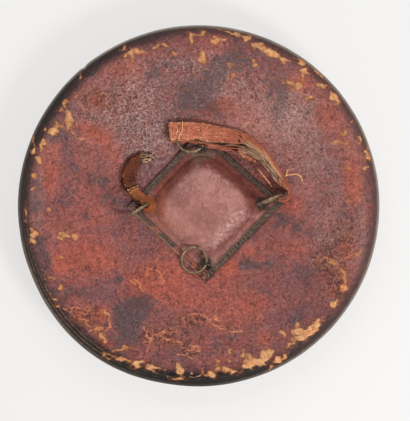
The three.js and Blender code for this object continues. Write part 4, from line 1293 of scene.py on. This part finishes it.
def strand(stations, radius, count=60, seed=0):
    """A thread or torn fibre: a round bar along a curve through its stations, thinner at its ends."""
    share = np.linspace(0, 1, count)
    path = spline(stations, share)
    taper = 0.35 + 0.65 * np.minimum(1, 6 * np.minimum(share, 1 - share))
    size = radius * taper * (1 + 0.15 * ripple(share, 0.15, seed))
    return tube(rope(path, size, (0.1, 0.2, 1.0), 8))


def shred(stations, width, thick, count=60, seed=0):
    """A torn ribbon of leather: a flat oval section along a curve, ragged at its edges and narrow
    at its ends."""
    share = np.linspace(0, 1, count)
    path = spline(stations, share)
    run = unit(np.gradient(path, axis=0))
    side = unit(np.cross(run, (0, 0, 1.0)))
    over = np.cross(side, run)
    turn = np.linspace(0, 2 * np.pi, 12, endpoint=False)
    taper = 0.25 + 0.75 * np.minimum(1, 4 * np.minimum(share, 1 - share))
    half = width / 2 * taper * (1 + 0.25 * ripple(share, 0.12, seed))
    flat = np.cos(turn)[None, :, None] * side[:, None] * half[:, None, None]
    return tube(path[:, None] + flat + np.sin(turn)[None, :, None] * over[:, None] * thick / 2)


def grip_wear(along, a, share, layer):
    """The grip's cover: creased at its folded end, cracked right across, and split past the crack
    into ribs with gaps on its inner part. It gives how far the surface is lowered at each place,
    how dark the gap there is, painted shade in its gaps, crack, pit and folded end, and how pale, how
    grey with age and how tan the leather is, with painted highlights on the crests of the ribs."""
    cover = layer == 0
    bent = 0.8 * np.stack([ripple(a, 9, at) for at in FOLDS_AT])
    past_folds = np.stack([along - at for at in FOLDS_AT]) - bent
    crease = bell(past_folds, 0.6).sum(0)
    fold = (0.5 * bell(past_folds - 1.3, 0.6).sum(0) + 0.8 * smooth(along, 1.6, 0)) * cover
    past_crack = along - CRACK_AT - 1.6 * ripple(a, 6, 71)
    crack = bell(past_crack, 1.5) * cover
    split = smooth(along, CRACK_AT + 2, CRACK_AT + 14) * smooth(along, SPLIT_END, SPLIT_END - 12)
    ribs = 0.5 - 0.5 * np.cos(2 * np.pi * (a + 0.9 * ripple(along, 30, 72)) / 4.4)
    inner = smooth(a, 2, -2)
    gap = split * ribs**2 * inner * cover
    edges = smooth(np.abs(share), 0.86, 0.97) * cover * (0.55 + 0.4 * ripple(along, 10, 78))
    pit = bell(np.hypot(along - PIT_AT, a - 1), 1.095)
    # The crests of the ribs are painted pale as highlights
    crest = split * inner * (1 - ribs) ** 2 * cover
    pale = 0.9 * edges * (1 - split) + (0.7 * crease + 0.7 * bell(past_crack - 2.5, 1)) * cover + crest
    aged = 0.55 * split * inner + 0.5 * ((layer == 1) | (layer == 2)) + 0.15 * (layer > 2)
    lowered = 0.5 * crease * cover + 2 * crack + 2.4 * gap + 0.8 * pit
    return dict(lowered=lowered, gap=gap + fold + crack + pit, pale=pale, aged=aged, tan=0 * a)


def stub_wear(along, a, share, layer):
    """The stub, in the same terms: grey flakes at its torn tip, streaked edges, scuffs, and a tie
    of two wraps just before the ring, with dark gaps at its torn tip and next to the tie, painted as shade."""
    cover = layer == 0
    tip = smooth(along, 22, 12)
    streaky = np.stack([along / 3, a], -1)
    flakes = smooth(lumps(streaky, 3, 73), 0.2, 1.0)
    edges = smooth(np.abs(share), 0.75, 0.97) * cover * smooth(along, 30, 44)
    wraps = (TIE_AT, TIE_AT + 3.4)
    tie = sum(bell(along - at - 0.5 * ripple(a, 9, 75), 1.1) for at in wraps)
    scuffs = smooth(lumps(np.stack([along / 4, a], -1), 3, 76), 0.7, 1.4) * cover
    pale = 0.5 * edges * (0.6 + 0.5 * ripple(along, 8, 77)) + 0.5 * tie + 0.4 * tip * flakes + 0.3 * scuffs
    gap = tip * smooth(lumps(streaky, 4, 74), 0.6, 1.2)
    gap = gap + 0.7 * bell(along - TIE_AT + 2.6, 0.9) * cover
    tan = smooth(along, 48, 56) * (0.35 + 0.5 * smooth(along, 62, 68))
    return dict(lowered=1.2 * gap - 0.7 * tie * cover, gap=gap, pale=pale, aged=0.85 * tip, tan=tan)


# Threads and torn pieces of the grip, in strap places and then in millimetres from above
TIE_THREAD = [
    (19, 13, -2), (18.6, 11.5, 0.4), (18.4, 5, 0.7), (17.6, -1, 0.7), (14.6, -5, 0.7),
    (13.2, -9, 0.7), (13.8, -11.6, 0.6), (15.6, -13.2, -2),
]
CURL = [(109, 37), (113.5, 39.5), (120.5, 40.5), (124, 41), (129, 39.5), (132.5, 35), (133, 30)]
HOOK = [(112.5, 39), (113.6, 43), (114.4, 46.2), (116.6, 46.6)]
TAIL = [(74, 49, 45), (80, 42, 44.5), (85, 36, 44), (90, 30, 43), (94, 24, 42)]
FLAP = [(51, 70, 44), (56, 66, 42), (61, 63, 41), (68, 60, 42), (74, 55, 43)]


def grip_strap():
    """The grip: a band of four layers, with its tie, its torn threads and two loose shreds."""
    points, fields = layered_band(GRIP_RUN, 4, 440, 30, grip_wear)
    curl, hook = ([(x, y, inner_height(x, y) + 1.2) for x, y in line] for line in (CURL, HOOK))
    bodies = (
        strand(on_band(GRIP_RUN, TIE_THREAD), 0.6, 80, 31),
        strand(curl, 1.0, 80, 32),
        strand(hook, 0.85, 40, 33),
        shred(TAIL, 2.4, 1.2, 70, 34),
        shred(FLAP, 5.5, 1.2, 70, 35),
    )
    # The band's two end corners aren't pale, and each loose body has its own paleness
    counts = [2, *(len(corners) for corners, *_ in bodies)]
    rest = dict(pale=np.repeat([0, 1, 1.4, 1.4, 0.3, 0.1], counts))
    body = joined(tube(points), *bodies)
    name = "folded_grip_strap"
    return piece(name, body, GRIP_FINISH, "strap_leather", "grip_strap", fields=fields, rest=rest)


def strap_stub():
    """The stub of the second strap: a band of two ragged layers."""
    points, fields = layered_band(STUB_RUN, 2, 320, 50, stub_wear, 0.5)
    body = tube(points)
    return piece("torn_strap_stub", body, STUB_FINISH, "strap_leather", "strap_stub", fields=fields)


# Ground, light and camera

GROUND_REACH = 3000
CAMERA_PLACE = (8, -6, 1668)
CAMERA_LENS = 108.4


def ground():
    """A white square on the ground, which also shines a little, like backlit paper."""
    mesh = bpy.data.meshes.new("ground")
    far = GROUND_REACH * METRES
    mesh.from_pydata([(-far, -far, 0), (far, -far, 0), (far, far, 0), (-far, far, 0)], [], [(0, 1, 2, 3)])
    floor = bpy.data.objects.new("ground", mesh)
    bpy.context.scene.collection.objects.link(floor)
    lit = dict(Emission_Color=(0.66, 0.65, 0.645, 1.0), Emission_Strength=1.0)
    f = Finish("pale_paper", Roughness=0.9, Specular_IOR_Level=0.1, **lit)
    mesh.materials.append(f.wear(Base_Color=(0.19, 0.19, 0.188, 1.0)))


def area_light(name, place, aim, size, watts, colour):
    """A rectangular light of the given size in metres, turned to its aim. Places are in mm."""
    lamp = bpy.data.lights.new(name, "AREA")
    lamp.shape = "RECTANGLE"
    lamp.size, lamp.size_y = size
    lamp.energy = watts
    lamp.color = colour
    made = bpy.data.objects.new(name, lamp)
    bpy.context.scene.collection.objects.link(made)
    place, aim = np.array(place) * METRES, np.array(aim) * METRES
    made.location = place
    made.rotation_euler = Vector(aim - place).to_track_quat("-Z", "Y").to_euler()


def studio():
    """Even white light, a soft key low on the right that glints on the hide, and a wide light over
    the top of the shield. Colours are shown as they are, without a film look."""
    world = bpy.data.worlds.new("studio")
    bpy.context.scene.world = world
    world.use_nodes = True
    sky = world.node_tree.nodes["Background"]
    sky.inputs[0].default_value = (1.0, 0.99, 0.98, 1.0)
    sky.inputs[1].default_value = 0.46
    area_light("key", (900, -900, 1300), (0, 0, 40), (0.4, 0.4), 26, (1.0, 0.98, 0.96))
    area_light("wide", (-100, 1300, 1900), (0, 300, 0), (1.8, 1.4), 22, (0.97, 0.99, 1.0))
    bpy.context.scene.view_settings.view_transform = "Standard"


def overhead_camera():
    """The camera straight above the dish, as the photo was taken."""
    camera = bpy.data.cameras.new("overhead")
    camera.sensor_width = 36.0
    camera.lens = CAMERA_LENS
    made = bpy.data.objects.new("overhead", camera)
    bpy.context.scene.collection.objects.link(made)
    made.location = [distance * METRES for distance in CAMERA_PLACE]
    bpy.context.scene.camera = made


shield_hide()
knuckle_pad()
for i, corner in enumerate(("upper_right", "upper_left", "lower_left", "lower_right")):
    edging(i, f"strip_{corner}")
for i, side in enumerate(SIDES):
    ring_eye(side)
    washer(side)
    front_boss(side)
    wire_ring(side, 60 + i)
grip_strap()
strap_stub()
ground()
studio()
overhead_camera()
